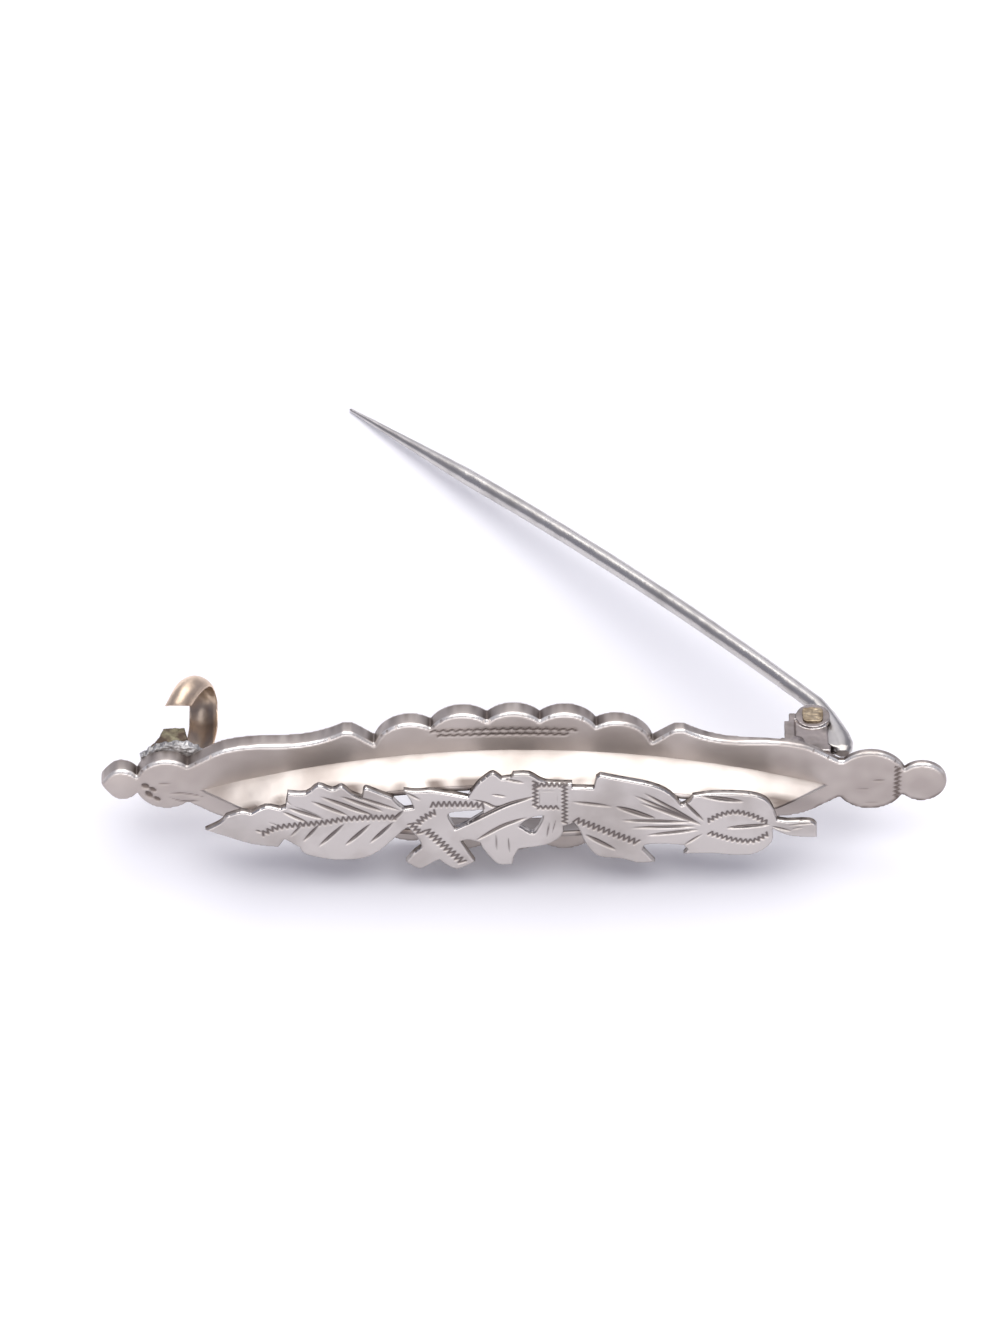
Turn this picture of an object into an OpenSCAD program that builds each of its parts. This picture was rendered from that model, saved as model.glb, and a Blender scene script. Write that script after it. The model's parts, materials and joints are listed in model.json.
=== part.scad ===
// Bar brooch of struck sheet silver, standing on its scalloped rim with its pin open behind it.
// Every piece is drawn lying flat: x runs along the bar from the middle scallop, y is up in the
// plate's plane and z is its front. The module standing() then tips it up as it rests on a table.

/* [Bar] */
// Length over the two small end lobes
bar_len = 50; // [46:0.5:56]
// Height over the middle scallops
bar_h = 10.8; // [10:0.1:12.5]
// Share of the length that lies left of the middle scallop
left_share = 0.488; // [0.47:0.002:0.5]
// Thickness of the sheet silver
sheet_t = 0.45; // [0.35:0.01:0.55]
// Depth of the turned-back rim, front face to back edge
rim_depth = 1.2; // [1:0.05:1.8]
// Radius of the five scallops on each long edge
scallop_r = 2.2; // [2.1:0.05:2.6]
// Radius of the hollow curve between the shoulder's peak and its flat
cove_r = 7; // [6:0.5:9]

/* [End lobes] */
// Radius of the large lobe at the catch end
left_lobe_r = 1.85; // [1.6:0.05:2.2]
// Radius of the small lobe at the catch end
left_tip_r = 1.15; // [1:0.05:1.4]
// Radius of the large lobe at the hinge end
right_lobe_r = 2.2; // [1.9:0.05:2.4]
// Radius of the small lobe at the hinge end
right_tip_r = 1.45; // [1.2:0.05:1.7]
// How far the small lobe at the hinge end sags below the bar's middle
right_sag = 0.3; // [0:0.05:0.4]
// How far the two lobes at the catch end run into each other
left_lap = 0.3; // [0.2:0.05:0.6]
// How far the two lobes at the hinge end run into each other
right_lap = 0.6; // [0.3:0.05:0.9]

/* [Ring] */
// Length of the pointed ring where it rises from the plate
ring_len = 37.2; // [34:0.2:38]
// Height of the ring where it rises from the plate
ring_h = 6; // [5.4:0.1:6.4]
// How far the ring stands in front of the plate
ring_rise = 2.1; // [1.6:0.1:2.8]
// How far its bevel leans inwards over that rise
ring_lean = 0.9; // [0.6:0.05:1.1]
// Width of the ring's cut front edge
ring_wall = 0.4; // [0.35:0.01:0.5]
// How far the ring's middle lies below the bar's middle
ring_drop = 0.4; // [0:0.05:0.6]

/* [Overlay] */
// Thickness of the pierced leaf overlay
spray_t = 0.45; // [0.35:0.01:0.6]

/* [Catch] */
// Thickness of the solder-covered plate under the catch
patch_t = 0.3; // [0.2:0.02:0.5]
// Width of the catch's ribbon
ribbon_w = 1.7; // [1.3:0.05:1.9]
// Thickness of the catch's ribbon
ribbon_t = 0.35; // [0.25:0.01:0.45]
// Outer radius of the catch's curl
curl_r = 1.9; // [1.7:0.05:2.2]
// Height of the curl's middle behind the plate's front
curl_back = 5.3; // [5:0.1:5.8]
// Height of the foot block behind the patch
foot_h = 1.6; // [1:0.05:1.7]

/* [Hinge] */
// Radius of the two ears
ear_r = 1; // [0.9:0.05:1.2]
// Thickness of each ear
ear_t = 0.45; // [0.35:0.01:0.6]
// Height of the pivot behind the plate's front
pivot_back = 3.5; // [3:0.1:4]
// Height of the pin's middle plane above the bar's middle
pin_up = 1.15; // [1:0.05:1.25]
// Radius of the brass rivet's shank
rivet_r = 0.4; // [0.3:0.02:0.5]
// Radius of the rivet's two hammered heads
head_r = 0.6; // [0.5:0.05:0.8]
// Thickness of each rivet head
head_t = 0.1; // [0.06:0.02:0.2]

/* [Pin] */
// Diameter of the pin wire
wire_d = 1; // [0.8:0.05:1.1]
// Length of the long taper to the point
taper_len = 9.5; // [6:0.5:12]
// Radius of the blunt point
point_r = 0.11; // [0.08:0.01:0.2]
// How far the point reaches past the catch when the pin is shut
overhang = 3; // [2.4:0.1:4]
// Distance from the pivot to the wire's centre line
wire_offset = 1.5; // [1.3:0.05:1.7]
// How far along the wire its round part starts, past the pivot
root_reach = 1.35; // [1:0.05:1.8]
// Thickness of the flat tab between the ears
tab_t = 0.7; // [0.6:0.02:0.8]
// Radius of the tab round the rivet
tab_r = 1.1; // [0.9:0.05:1.2]
// Radius of the tab's rounded tail, the open stop
tail_r = 0.65; // [0.5:0.01:0.75]
// Angle between the wire's root and the plate when the pin is open
open_angle = 49.4; // [40:0.2:56]
// Angle through which the wire is bowed along its length
bow_angle = 7.4; // [4:0.2:10]

/* [Fits] */
// Clearance between the tab and each ear
side_gap = 0.08; // [0.05:0.01:0.12]
// Radial clearance of the tab on the rivet
pivot_gap = 0.05; // [0.03:0.01:0.08]
// Clearance between the tail and the plate's back when open
stop_gap = 0.06; // [0.04:0.01:0.15]

/* [Hidden] */
$fn = 64;
EPS = 0.01;
SPARE = 1;

SILVER = [0.72, 0.69, 0.68];
OVERLAY = [0.78, 0.76, 0.75];
SOLDER = [0.44, 0.43, 0.42];
GILT = [0.78, 0.66, 0.5];
STEEL = [0.68, 0.67, 0.66];

half = bar_len / 2;
rise = bar_h / 2;
left_reach = bar_len * left_share;
right_reach = bar_len - left_reach;

// The scalloped outline, as shares of half the length and of half the height
SCALLOPS = [[0, 1], [0.12, 0.98], [0.244, 0.852]];
NOTCH = [0.328, 0.556];
PEAK = [[0.37, 0.7], [0.382, 0.73], [0.398, 0.733]];
COVE = [0.544, 0.556];
SHOULDER = [[0.6, 0.555], [0.65, 0.53], [0.685, 0.49], [0.71, 0.435]];
NECK = [0.77, 0.26];
NECK_END = 0.81;

// The rim is full depth up to this share of half the length, then dies out at the second one
RIM_FULL = 0.2;
RIM_ENDS = 0.68;

ring_half = ring_len / 2;
ring_up = ring_h / 2;
lens_r = (ring_half * ring_half + ring_up * ring_up) / (2 * ring_up);
lens_c = lens_r - ring_up;
lean_rate = ring_lean / ring_rise;
spray_front = ring_rise + spray_t;

// The catch, placed as shares of the left reach and in widths of its own ribbon
LEG_AT = -0.754;
TONGUE_AT = -0.813;
FOOT_AT = -0.828;
TONGUE_END = -45;
LEG_LEAN = 0.15;
CURL_STEPS = 26;
CURL_LIFT = 0.35;
FOOT_FRONT = 0.25;
FOOT_HIND = 0.4;
FOOT_TAPER = 0.2;
curl_mid = curl_r - ribbon_t / 2;
curl_up = pin_up + CURL_LIFT;
leg_x = left_reach * LEG_AT;
tongue_x = left_reach * TONGUE_AT;
foot_x = left_reach * FOOT_AT;
leg_y = curl_up - curl_mid;
patch_back = rim_depth + patch_t;

// The hinge, and the pin that turns in it
PIVOT_AT = 0.693;
TAIL_AT = 1.6;
LUG_AT = 1.72;
LUG_UP = 0.35;
LUG_T = 1.2;
EAR_SPREAD = 1.4;
ROOT_SHARE = 0.88;
FADE_SHARE = 0.75;
LAP = 0.3;
LAP_SHARE = 0.96;
NIB_SHARE = 0.45;
pivot_x = right_reach * PIVOT_AT;
ear_low = pin_up - tab_t / 2 - side_gap - ear_t;
ear_high = pin_up + tab_t / 2 + side_gap;
pin_chord = pivot_x - leg_x + overhang;
bow_len = pin_chord - taper_len;
bow_r = bow_len / (bow_angle * PI / 180);
end_angle = open_angle - bow_angle;
along = [-cos(open_angle), sin(open_angle)];
across = [sin(open_angle), cos(open_angle)];
root = [pivot_x, pivot_back] + wire_offset * across + root_reach * along;
bow_at = root - bow_r * across;
bow_end = bow_at + bow_r * [sin(end_angle), cos(end_angle)];
point = bow_end + taper_len * [-cos(end_angle), sin(end_angle)];
tail = [pivot_x + TAIL_AT * tab_r, sheet_t + stop_gap + tail_r];

// The bar leans back until its back edge and the pin's point both touch the table
edge_up = rise + pin_up;
edge_back = point[1] - rim_depth;
lean = atan2(edge_up, edge_back) - asin(point_r / norm([edge_up, edge_back]));
floor_z = rise * cos(lean) + rim_depth * sin(lean);

// The overlay's outlines: shares of the ring's half-length and half-height, and 1 where the edge is smooth
LEAF = [
    [-0.982, -0.31, 0], [-0.935, -0.13, 1], [-0.915, 0.04, 0], [-0.866, 0.16, 1], [-0.835, 0.11, 0],
    [-0.788, 0.28, 1], [-0.743, 0.22, 0], [-0.726, 0.27, 0], [-0.722, 0.46, 1], [-0.718, 0.64, 0],
    [-0.66, 0.62, 1], [-0.62, 0.83, 1], [-0.576, 0.71, 1], [-0.546, 0.8, 1], [-0.515, 0.61, 1],
    [-0.482, 0.5, 0], [-0.478, 0.69, 0], [-0.468, 0.75, 1], [-0.43, 0.63, 1], [-0.386, 0.49, 0],
    [-0.371, 0.34, 1], [-0.348, 0.19, 0], [-0.315, 0, 0], [-0.342, -0.28, 0], [-0.402, -0.72, 1],
    [-0.435, -0.93, 1], [-0.485, -1.09, 1], [-0.575, -1.12, 1], [-0.663, -0.97, 1], [-0.683, -0.79, 0],
    [-0.73, -0.57, 0], [-0.75, -0.77, 0], [-0.833, -0.69, 1], [-0.922, -0.47, 1]];
RIBBONS = [
    [-0.391, -0.23, 0], [-0.367, 0.1, 0], [-0.348, 0.19, 0], [-0.318, 0.22, 0], [-0.33, 0.43, 0],
    [-0.35, 0.68, 0], [-0.31, 0.65, 1], [-0.265, 0.67, 0], [-0.23, 0.62, 1], [-0.192, 0.57, 1],
    [-0.137, 0.48, 0], [-0.066, 0.25, 0], [0.072, 0.52, 0], [0.088, 0.14, 0], [0.153, -0.13, 0],
    [0.157, -0.42, 1], [0.137, -0.63, 1], [0.096, -0.78, 1], [0.015, -0.87, 0], [-0.001, -1.09, 1],
    [-0.005, -1.27, 0], [-0.046, -1.28, 1], [-0.07, -1.15, 1], [-0.099, -0.88, 1], [-0.111, -0.69, 0],
    [-0.147, -0.62, 1], [-0.17, -0.66, 0], [-0.147, -0.94, 0], [-0.125, -1.2, 0],
    [-0.18, -1.39, 1], [-0.216, -1.28, 1], [-0.239, -1.14, 0], [-0.257, -1.2, 1], [-0.302, -1.37, 1],
    [-0.346, -1.18, 0], [-0.324, -0.98, 1], [-0.295, -0.8, 0], [-0.304, -0.6, 1], [-0.338, -0.28, 0],
    [-0.375, -0.48, 0]];
PETAL = [
    [-0.15, 0.44, 0], [-0.121, 0.79, 1], [-0.095, 0.98, 1], [-0.066, 1.11, 1], [-0.038, 0.96, 0],
    [-0.009, 0.99, 0], [-0.003, 1.08, 0], [0.05, 1.08, 1], [0.1, 0.87, 1], [0.185, 0.83, 0],
    [0.185, 0.72, 0], [0.255, 0.7, 0], [0.245, 0, 0], [0.173, -0.25, 0], [0.14, -0.3, 0],
    [-0.04, -0.35, 0], [-0.09, 0.15, 0]];
PLAIN_LEAF = [
    [0.15, 0.72, 0], [0.253, 0.7, 0], [0.261, 0.97, 0], [0.274, 1.04, 0], [0.34, 0.93, 1],
    [0.44, 0.76, 1], [0.498, 0.53, 1], [0.533, 0.21, 0], [0.604, -0.22, 0], [0.546, -0.82, 0],
    [0.477, -0.77, 1], [0.42, -0.79, 1], [0.409, -0.91, 0], [0.448, -1.25, 0], [0.393, -1.26, 1],
    [0.34, -1.15, 1], [0.266, -1.08, 1], [0.224, -0.71, 1], [0.208, -0.41, 1], [0.177, -0.06, 0]];
BUD = [
    [0.515, 0.17, 0], [0.556, 0.33, 1], [0.567, 0.47, 0], [0.63, 0.53, 1], [0.71, 0.53, 1],
    [0.773, 0.46, 1], [0.812, 0.27, 1], [0.836, -0.17, 0], [0.868, -0.21, 0], [0.94, -0.21, 1],
    [0.962, -0.33, 0], [0.962, -0.63, 0], [0.878, -0.59, 1], [0.821, -0.4, 0], [0.819, -0.75, 1],
    [0.773, -1.03, 1], [0.71, -1.09, 1], [0.63, -1.03, 1], [0.538, -1.04, 0], [0.551, -0.93, 0],
    [0.53, -0.74, 0], [0.519, -0.21, 0]];
HOLES = [
    [[-0.209, 0.03, 1], [-0.188, 0.11, 1], [-0.1, 0.16, 0], [-0.1, 0.04, 0], [-0.151, -0.21, 0],
        [-0.188, -0.34, 0], [-0.202, -0.14, 1]],
    [[0.015, -0.27, 0], [0.047, -0.08, 1], [0.092, -0.01, 1], [0.076, -0.33, 1], [0.058, -0.47, 1],
        [0.035, -0.37, 1]]];
EDGE_STEPS = 3;

// A jagged patch of sheet and solder, as shares of the left reach and of half the height
PATCH = [
    [-0.9, -0.14], [-0.72, -0.2], [-0.705, 0.16], [-0.775, 0.3], [-0.79, 0.36], [-0.815, 0.35],
    [-0.83, 0.4], [-0.86, 0.37], [-0.875, 0.33], [-0.895, 0.31], [-0.91, 0.2]];

function scaled(points, x_unit, y_unit) = [for (p = points) [p[0] * x_unit, p[1] * y_unit]];

// A point on the smooth curve from b to c, which passes a before and d after
function curve_point(a, b, c, d, t) =
    0.5 * (2 * b + (c - a) * t + (2 * a - 5 * b + 4 * c - d) * t * t + (3 * b - a - 3 * c + d) * t * t * t);

// A closed outline through the rows, smooth at rows marked 1 and sharp at rows marked 0
function flowing(rows, steps) =
    let (n = len(rows), p = [for (r = rows) [r[0], r[1]]])
    [for (i = [0 : n - 1], s = [0 : steps - 1])
        let (j = (i + 1) % n, sharp = rows[i][2] == 0 && rows[j][2] == 0)
        if (s == 0 || !sharp)
        let (a = rows[i][2] == 0 ? p[i] : p[(i + n - 1) % n], d = rows[j][2] == 0 ? p[j] : p[(j + 1) % n])
        curve_point(a, p[i], p[j], d, s / steps)];

module overlay_shape(rows) {
    polygon(scaled(flowing(rows, EDGE_STEPS), ring_half, ring_up));
}

module both_ways() {
    children();
    mirror([0, 1, 0]) children();
}

module side_of_bar() {
    for (s = SCALLOPS) translate([s[0] * half, s[1] * rise - scallop_r]) circle(scallop_r);
    difference() {
        polygon(scaled(concat([[0, 0], NOTCH], PEAK, [[COVE[0], PEAK[2][1]], [COVE[0], 0]]), half, rise));
        translate([COVE[0] * half, COVE[1] * rise + cove_r]) circle(cove_r, $fn = 128);
    }
    polygon(scaled(concat([[0, 0], [0, NOTCH[1]], NOTCH, COVE], SHOULDER,
        [NECK, [NECK_END, NECK[1]], [NECK_END, 0]]), half, rise));
}

// A large and a small lobe at one end: side is -1 at the left and 1 at the right
module end_lobes(side, reach, lobe_r, tip_r, lap, sag) {
    tip_x = reach - tip_r;
    lobe_x = tip_x - (tip_r + lobe_r - lap);
    translate([side * lobe_x, -sag / 2]) circle(lobe_r);
    translate([side * tip_x, -sag]) circle(tip_r);
}

module outline() {
    both_ways() {
        side_of_bar();
        mirror([1, 0, 0]) side_of_bar();
    }
    end_lobes(-1, left_reach, left_lobe_r, left_tip_r, left_lap, 0);
    end_lobes(1, right_reach, right_lobe_r, right_tip_r, right_lap, right_sag);
}

// Draws in the plane along the bar and away from its back, and extrudes up the plate
module side_on() {
    rotate([-90, 0, 0]) children();
}

// A pointed solid with arched sides that lean in by lean_rate from low to high
module lens(low, high, inset) {
    intersection_for (side = [-1, 1])
        translate([0, side * lens_c - ring_drop, low])
            cylinder(h = high - low, r1 = lens_r - inset - low * lean_rate,
                r2 = lens_r - inset - high * lean_rate, $fn = 360);
}

module rim_reach() {
    x0 = -left_reach - SPARE;
    x1 = right_reach * RIM_FULL;
    x2 = right_reach * RIM_ENDS;
    translate([0, -rise - SPARE, 0])
        side_on() linear_extrude(bar_h + 2 * SPARE)
            polygon([[x0, 0], [x0, rim_depth], [x1, rim_depth], [x2, sheet_t], [x2, 0]]);
}

module frame() {
    color(SILVER) difference() {
        union() {
            translate([0, 0, -sheet_t]) linear_extrude(sheet_t) outline();
            intersection() {
                translate([0, 0, -rim_depth]) linear_extrude(rim_depth) difference() {
                    outline();
                    offset(delta = -sheet_t) outline();
                }
                rim_reach();
            }
            lens(-sheet_t, ring_rise, 0);
        }
        lens(-sheet_t - EPS, ring_rise + EPS, ring_wall);
    }
}

module leaf_spray() {
    color(OVERLAY) translate([0, -ring_drop, ring_rise]) linear_extrude(spray_t) difference() {
        union() {
            overlay_shape(LEAF);
            overlay_shape(RIBBONS);
            overlay_shape(PETAL);
            overlay_shape(PLAIN_LEAF);
            overlay_shape(BUD);
        }
        for (h = HOLES) overlay_shape(h);
    }
}

module catch_plate() {
    color(SOLDER) translate([0, 0, -patch_back])
        linear_extrude(patch_t) polygon(scaled(PATCH, left_reach, rise));
}

// Corners of the ribbon's section at one step of its path: a straight leg, then the curl
function ribbon_ring(i) =
    let (turn = i < 0 ? 180 : 180 + (TONGUE_END - 180) * i / CURL_STEPS,
        x = i < 0 ? leg_x - LEG_LEAN * ribbon_w : leg_x + (tongue_x - leg_x) * pow(i / CURL_STEPS, 4),
        back = i < 0 ? patch_back : curl_back)
    [for (c = [[-1, 0], [1, 0], [1, 1], [-1, 1]])
        let (r = curl_r - ribbon_t * c[1])
        [x + c[0] * ribbon_w / 2, curl_up + r * cos(turn), -back - (i < 0 ? 0 : r * sin(turn))]];

module catch_hook() {
    rings = [for (i = [-1 : CURL_STEPS]) each ribbon_ring(i)];
    last = 4 * (CURL_STEPS + 1);
    sides = [for (i = [0 : CURL_STEPS], k = [0 : 3])
        [4 * i + k, 4 * i + (k + 1) % 4, 4 * i + 4 + (k + 1) % 4, 4 * i + 4 + k]];
    ends = [[3, 2, 1, 0], [last, last + 1, last + 2, last + 3]];
    color(GILT) union() {
        polyhedron(points = rings, faces = concat(sides, ends));
        catch_foot();
    }
}

// The ribbon's foot runs from under the leg to a block below the tongue's end
module catch_foot() {
    front = curl_up + curl_mid * FOOT_FRONT;
    translate([0, 0, -patch_back - ribbon_t]) linear_extrude(ribbon_t)
        polygon([[leg_x - ribbon_w / 2, leg_y - ribbon_t / 2], [leg_x + ribbon_w / 2, leg_y - ribbon_t / 2],
            [leg_x + ribbon_w / 2, leg_y + ribbon_t / 2], [foot_x + ribbon_w / 2, front],
            [foot_x - ribbon_w / 2, front]]);
    translate([foot_x - ribbon_w / 2, 0, 0]) rotate([90, 0, 90]) linear_extrude(ribbon_w)
        polygon([[curl_up - curl_mid * FOOT_HIND, -patch_back], [front, -patch_back],
            [front - ribbon_t / 2, -patch_back - foot_h],
            [curl_up - curl_mid * (FOOT_HIND - FOOT_TAPER), -patch_back - foot_h]]);
}

module ear(low) {
    base_w = EAR_SPREAD * ear_r;
    translate([0, low, 0]) side_on() linear_extrude(ear_t) difference() {
        union() {
            translate([pivot_x, pivot_back]) circle(ear_r);
            polygon([[pivot_x - base_w, sheet_t], [pivot_x + ear_r, sheet_t], [pivot_x + ear_r, pivot_back],
                [pivot_x - ear_r, pivot_back]]);
        }
        translate([pivot_x, pivot_back]) circle(rivet_r);
    }
}

module hinge() {
    base_x = pivot_x - LUG_AT * ear_r;
    top = ear_high + ear_t;
    color(SILVER) union() {
        ear(ear_low);
        ear(ear_high);
        translate([base_x, ear_low, -sheet_t - ear_t]) cube([pivot_x + ear_r - base_x, top - ear_low, ear_t]);
        translate([base_x, ear_high, -pivot_back - LUG_UP])
            cube([LUG_T * ear_t, ear_t, pivot_back + LUG_UP - sheet_t]);
    }
}

module hinge_rivet() {
    low = ear_low - head_t;
    high = ear_high + ear_t;
    color(GILT) translate([pivot_x, 0, -pivot_back]) side_on() union() {
        translate([0, 0, low]) cylinder(h = high + head_t - low, r = rivet_r);
        translate([0, 0, low]) cylinder(h = head_t, r = head_r);
        translate([0, 0, high]) cylinder(h = head_t, r = head_r);
    }
}

// The straight band between the outer tangents of two discs
module band(p, r, q, s) {
    d = q - p;
    heading = atan2(d[1], d[0]);
    open = acos((r - s) / norm(d));
    polygon([for (k = [[p, r, 1], [q, s, 1], [q, s, -1], [p, r, -1]])
        k[0] + k[1] * [cos(heading + k[2] * open), sin(heading + k[2] * open)]]);
}

module pin_tab() {
    pivot = [pivot_x, pivot_back];
    root_r = ROOT_SHARE * wire_d / 2;
    difference() {
        union() {
            translate(pivot) circle(tab_r);
            translate(root) circle(root_r);
            translate(tail) circle(tail_r);
            band(pivot, tab_r, root, root_r);
            band(pivot, tab_r, tail, tail_r);
            band(root, root_r, tail, tail_r);
        }
        translate(pivot) circle(rivet_r + pivot_gap);
    }
}

// A round taper that starts a little inside the piece before it and runs along +x
module taper(length, start_r, end_r) {
    rotate([0, 90, 0]) translate([0, 0, -LAP])
        cylinder(h = length + LAP, r1 = LAP_SHARE * start_r, r2 = end_r);
}

module pin() {
    wire_r = wire_d / 2;
    color(STEEL) translate([0, pin_up, 0]) side_on() union() {
        translate([0, 0, -tab_t / 2]) linear_extrude(tab_t) pin_tab();
        translate(root) rotate([0, 0, -open_angle]) taper(wire_d, wire_r, FADE_SHARE * tab_t / 2);
        translate(bow_at) rotate([0, 0, 90 - open_angle])
            rotate_extrude(angle = bow_angle, $fn = 360) translate([bow_r, 0]) circle(wire_r, $fn = 48);
        translate(bow_end) rotate([0, 0, 180 - end_angle]) taper(taper_len, wire_r, point_r);
        translate(point) rotate([0, 0, 180 - end_angle]) taper(point_r, point_r, NIB_SHARE * point_r);
    }
}

// Tips the flat brooch up, sets it on the table and centres its box on the origin
module standing() {
    lowest = min([for (p = flowing(RIBBONS, EDGE_STEPS)) p[1]]) * ring_up - ring_drop;
    front_y = lowest * sin(lean) - spray_front * cos(lean);
    back_y = pin_up * sin(lean) + point[1] * cos(lean) + point_r;
    translate([(left_reach - right_reach) / 2, -(front_y + back_y) / 2, floor_z])
        rotate([90 - lean, 0, 0]) children();
}

standing() frame();
standing() leaf_spray();
standing() catch_plate();
standing() catch_hook();
standing() hinge();
standing() hinge_rivet();
standing() pin();
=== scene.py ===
"""Looks of the bar brooch: struck and engraved silver, a gilt catch, a steel pin and a pale studio."""

import json
import math

import bmesh
import bpy
import numpy as np
from mathutils import Matrix, Vector, noise
from mathutils.kdtree import KDTree


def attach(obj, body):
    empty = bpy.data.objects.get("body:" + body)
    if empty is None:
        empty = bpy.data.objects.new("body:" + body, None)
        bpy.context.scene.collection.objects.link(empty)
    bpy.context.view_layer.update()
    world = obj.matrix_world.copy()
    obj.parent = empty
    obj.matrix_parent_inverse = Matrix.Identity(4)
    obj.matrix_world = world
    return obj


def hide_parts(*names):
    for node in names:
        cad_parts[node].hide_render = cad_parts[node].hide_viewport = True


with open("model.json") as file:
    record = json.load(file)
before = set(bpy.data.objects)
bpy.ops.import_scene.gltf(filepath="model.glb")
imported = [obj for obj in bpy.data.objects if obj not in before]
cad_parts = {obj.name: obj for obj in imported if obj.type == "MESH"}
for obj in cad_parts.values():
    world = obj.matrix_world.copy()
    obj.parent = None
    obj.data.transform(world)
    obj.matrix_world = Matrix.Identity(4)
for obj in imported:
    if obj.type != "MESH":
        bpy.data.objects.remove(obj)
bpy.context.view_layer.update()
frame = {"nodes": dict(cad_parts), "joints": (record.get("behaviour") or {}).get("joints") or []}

# the flat brooch
# Shapes are drawn in millimetres on the flat brooch: x along the bar, v up it and n out of its front.
MM = 0.001
PIVOT = np.array((17.7408, 1.15, -3.5))
HINGE = frame["joints"][0]
V_DIR = np.array(HINGE["axis"], float)
X_DIR = np.array((1.0, 0.0, 0.0))
N_DIR = np.cross(X_DIR, V_DIR)
ORIGIN = np.array(HINGE["pos_m"], float) - (X_DIR * PIVOT[0] + V_DIR * PIVOT[1] + N_DIR * PIVOT[2]) * MM
BASIS = np.array((X_DIR, V_DIR, N_DIR))

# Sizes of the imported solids. The rim is full deep up to RIM_FULL_X and shallow from RIM_END_X on. The ring's
# outline is two arcs of radius RING_R about centres RING_C from its middle, and its wall leans inwards.
SHEET, RIM_DEPTH = 0.45, 1.2
RIM_FULL_X, RIM_END_X = 5.12, 17.4
RING_R, RING_C, RING_DROP = 59.16, 56.16, 0.4
RING_RISE, RING_WALL, LEAN_RATE = 2.1, 0.4, 0.9 / 2.1
SPRAY_BACK, SPRAY_FRONT = 2.1, 2.55


def place(flat):
    """Flat millimetres to metres in the shared frame."""
    return ORIGIN + np.asarray(flat, float) @ BASIS * MM


def lay(co):
    """Metres in the shared frame to flat millimetres."""
    return (np.asarray(co, float) - ORIGIN) / MM @ BASIS.T


def vertices_of(mesh):
    """The mesh's points, in metres, one row each."""
    co = np.zeros(len(mesh.vertices) * 3)
    mesh.vertices.foreach_get("co", co)
    return co.reshape(-1, 3)


def object_from(name, points, faces, material):
    """A smooth-shaded object from points in metres."""
    mesh = bpy.data.meshes.new(name)
    mesh.from_pydata([tuple(p) for p in points], [], faces)
    mesh.validate()
    mesh.update()
    for polygon in mesh.polygons:
        polygon.use_smooth = True
    obj = bpy.data.objects.new(name, mesh)
    bpy.context.scene.collection.objects.link(obj)
    mesh.materials.append(material)
    return obj


def finish_piece(obj, body, node):
    """Hangs the piece on its body's empty and hides the CAD node that it replaces, if there is one."""
    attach(obj, body)
    if node:
        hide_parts(node)


# outlines of the CAD nodes
PLANE_SLACK = 0.005


def plane_loops(node, level):
    """Closed outlines of the faces of a CAD node that lie in the flat plane n = level."""
    mesh = frame["nodes"][node].data
    co = lay(vertices_of(mesh))
    near = np.abs(co[:, 2] - level) < PLANE_SLACK
    keys = [tuple(np.round(p[:2], 3)) for p in co]
    directed = set()
    for polygon in mesh.polygons:
        ring = list(polygon.vertices)
        if all(near[i] for i in ring):
            for i, a in enumerate(ring):
                b = ring[(i + 1) % len(ring)]
                if keys[a] != keys[b]:
                    directed.add((keys[a], keys[b]))
    onward = {}
    for a, b in directed:
        if (b, a) not in directed:
            onward.setdefault(a, []).append(b)
    loops = []
    while onward:
        start = next(iter(onward))
        loop = [start]
        here = start
        while here in onward:
            ahead = onward[here].pop()
            if not onward[here]:
                del onward[here]
            here = ahead
            if here == start:
                break
            loop.append(here)
        if len(loop) > 2:
            loops.append(np.array(loop))
    return sorted(loops, key=lambda q: -np.ptp(q[:, 0]))


def dense(loop, gap=0.02):
    """Points along a closed outline, no further apart than gap."""
    out = []
    for a, b in zip(loop, np.roll(loop, -1, axis=0)):
        count = max(1, int(np.ceil(np.linalg.norm(b - a) / gap)))
        out.append(a + (b - a) * (np.arange(count) / count)[:, None])
    return np.vstack(out)


def inside(points, loops):
    """Whether each point lies inside an odd number of the outlines."""
    odd = np.zeros(len(points), bool)
    x, y = points[:, 0], points[:, 1]
    for loop in loops:
        for a, b in zip(loop, np.roll(loop, -1, axis=0)):
            if a[1] == b[1]:
                continue
            crosses = (a[1] > y) != (b[1] > y)
            at = a[0] + (y - a[1]) / (b[1] - a[1]) * (b[0] - a[0])
            odd ^= crosses & (x < at)
    return odd


def nearest(points, samples):
    """Each point's distance to the nearest sample, and which sample that is."""
    tree = KDTree(len(samples))
    for i, p in enumerate(samples):
        tree.insert((p[0], p[1], 0), i)
    tree.balance()
    found = [tree.find((p[0], p[1], 0)) for p in points]
    return np.array([f[2] for f in found]), np.array([f[1] for f in found])


def corners_of(loop, sharp=28):
    """The points of an outline where it turns by more than sharp degrees."""
    before = loop - np.roll(loop, 1, axis=0)
    after = np.roll(loop, -1, axis=0) - loop
    turn = np.degrees(np.abs(np.arctan2(before[:, 0] * after[:, 1] - before[:, 1] * after[:, 0],
                                        (before * after).sum(1))))
    return loop[turn > sharp]


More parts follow.
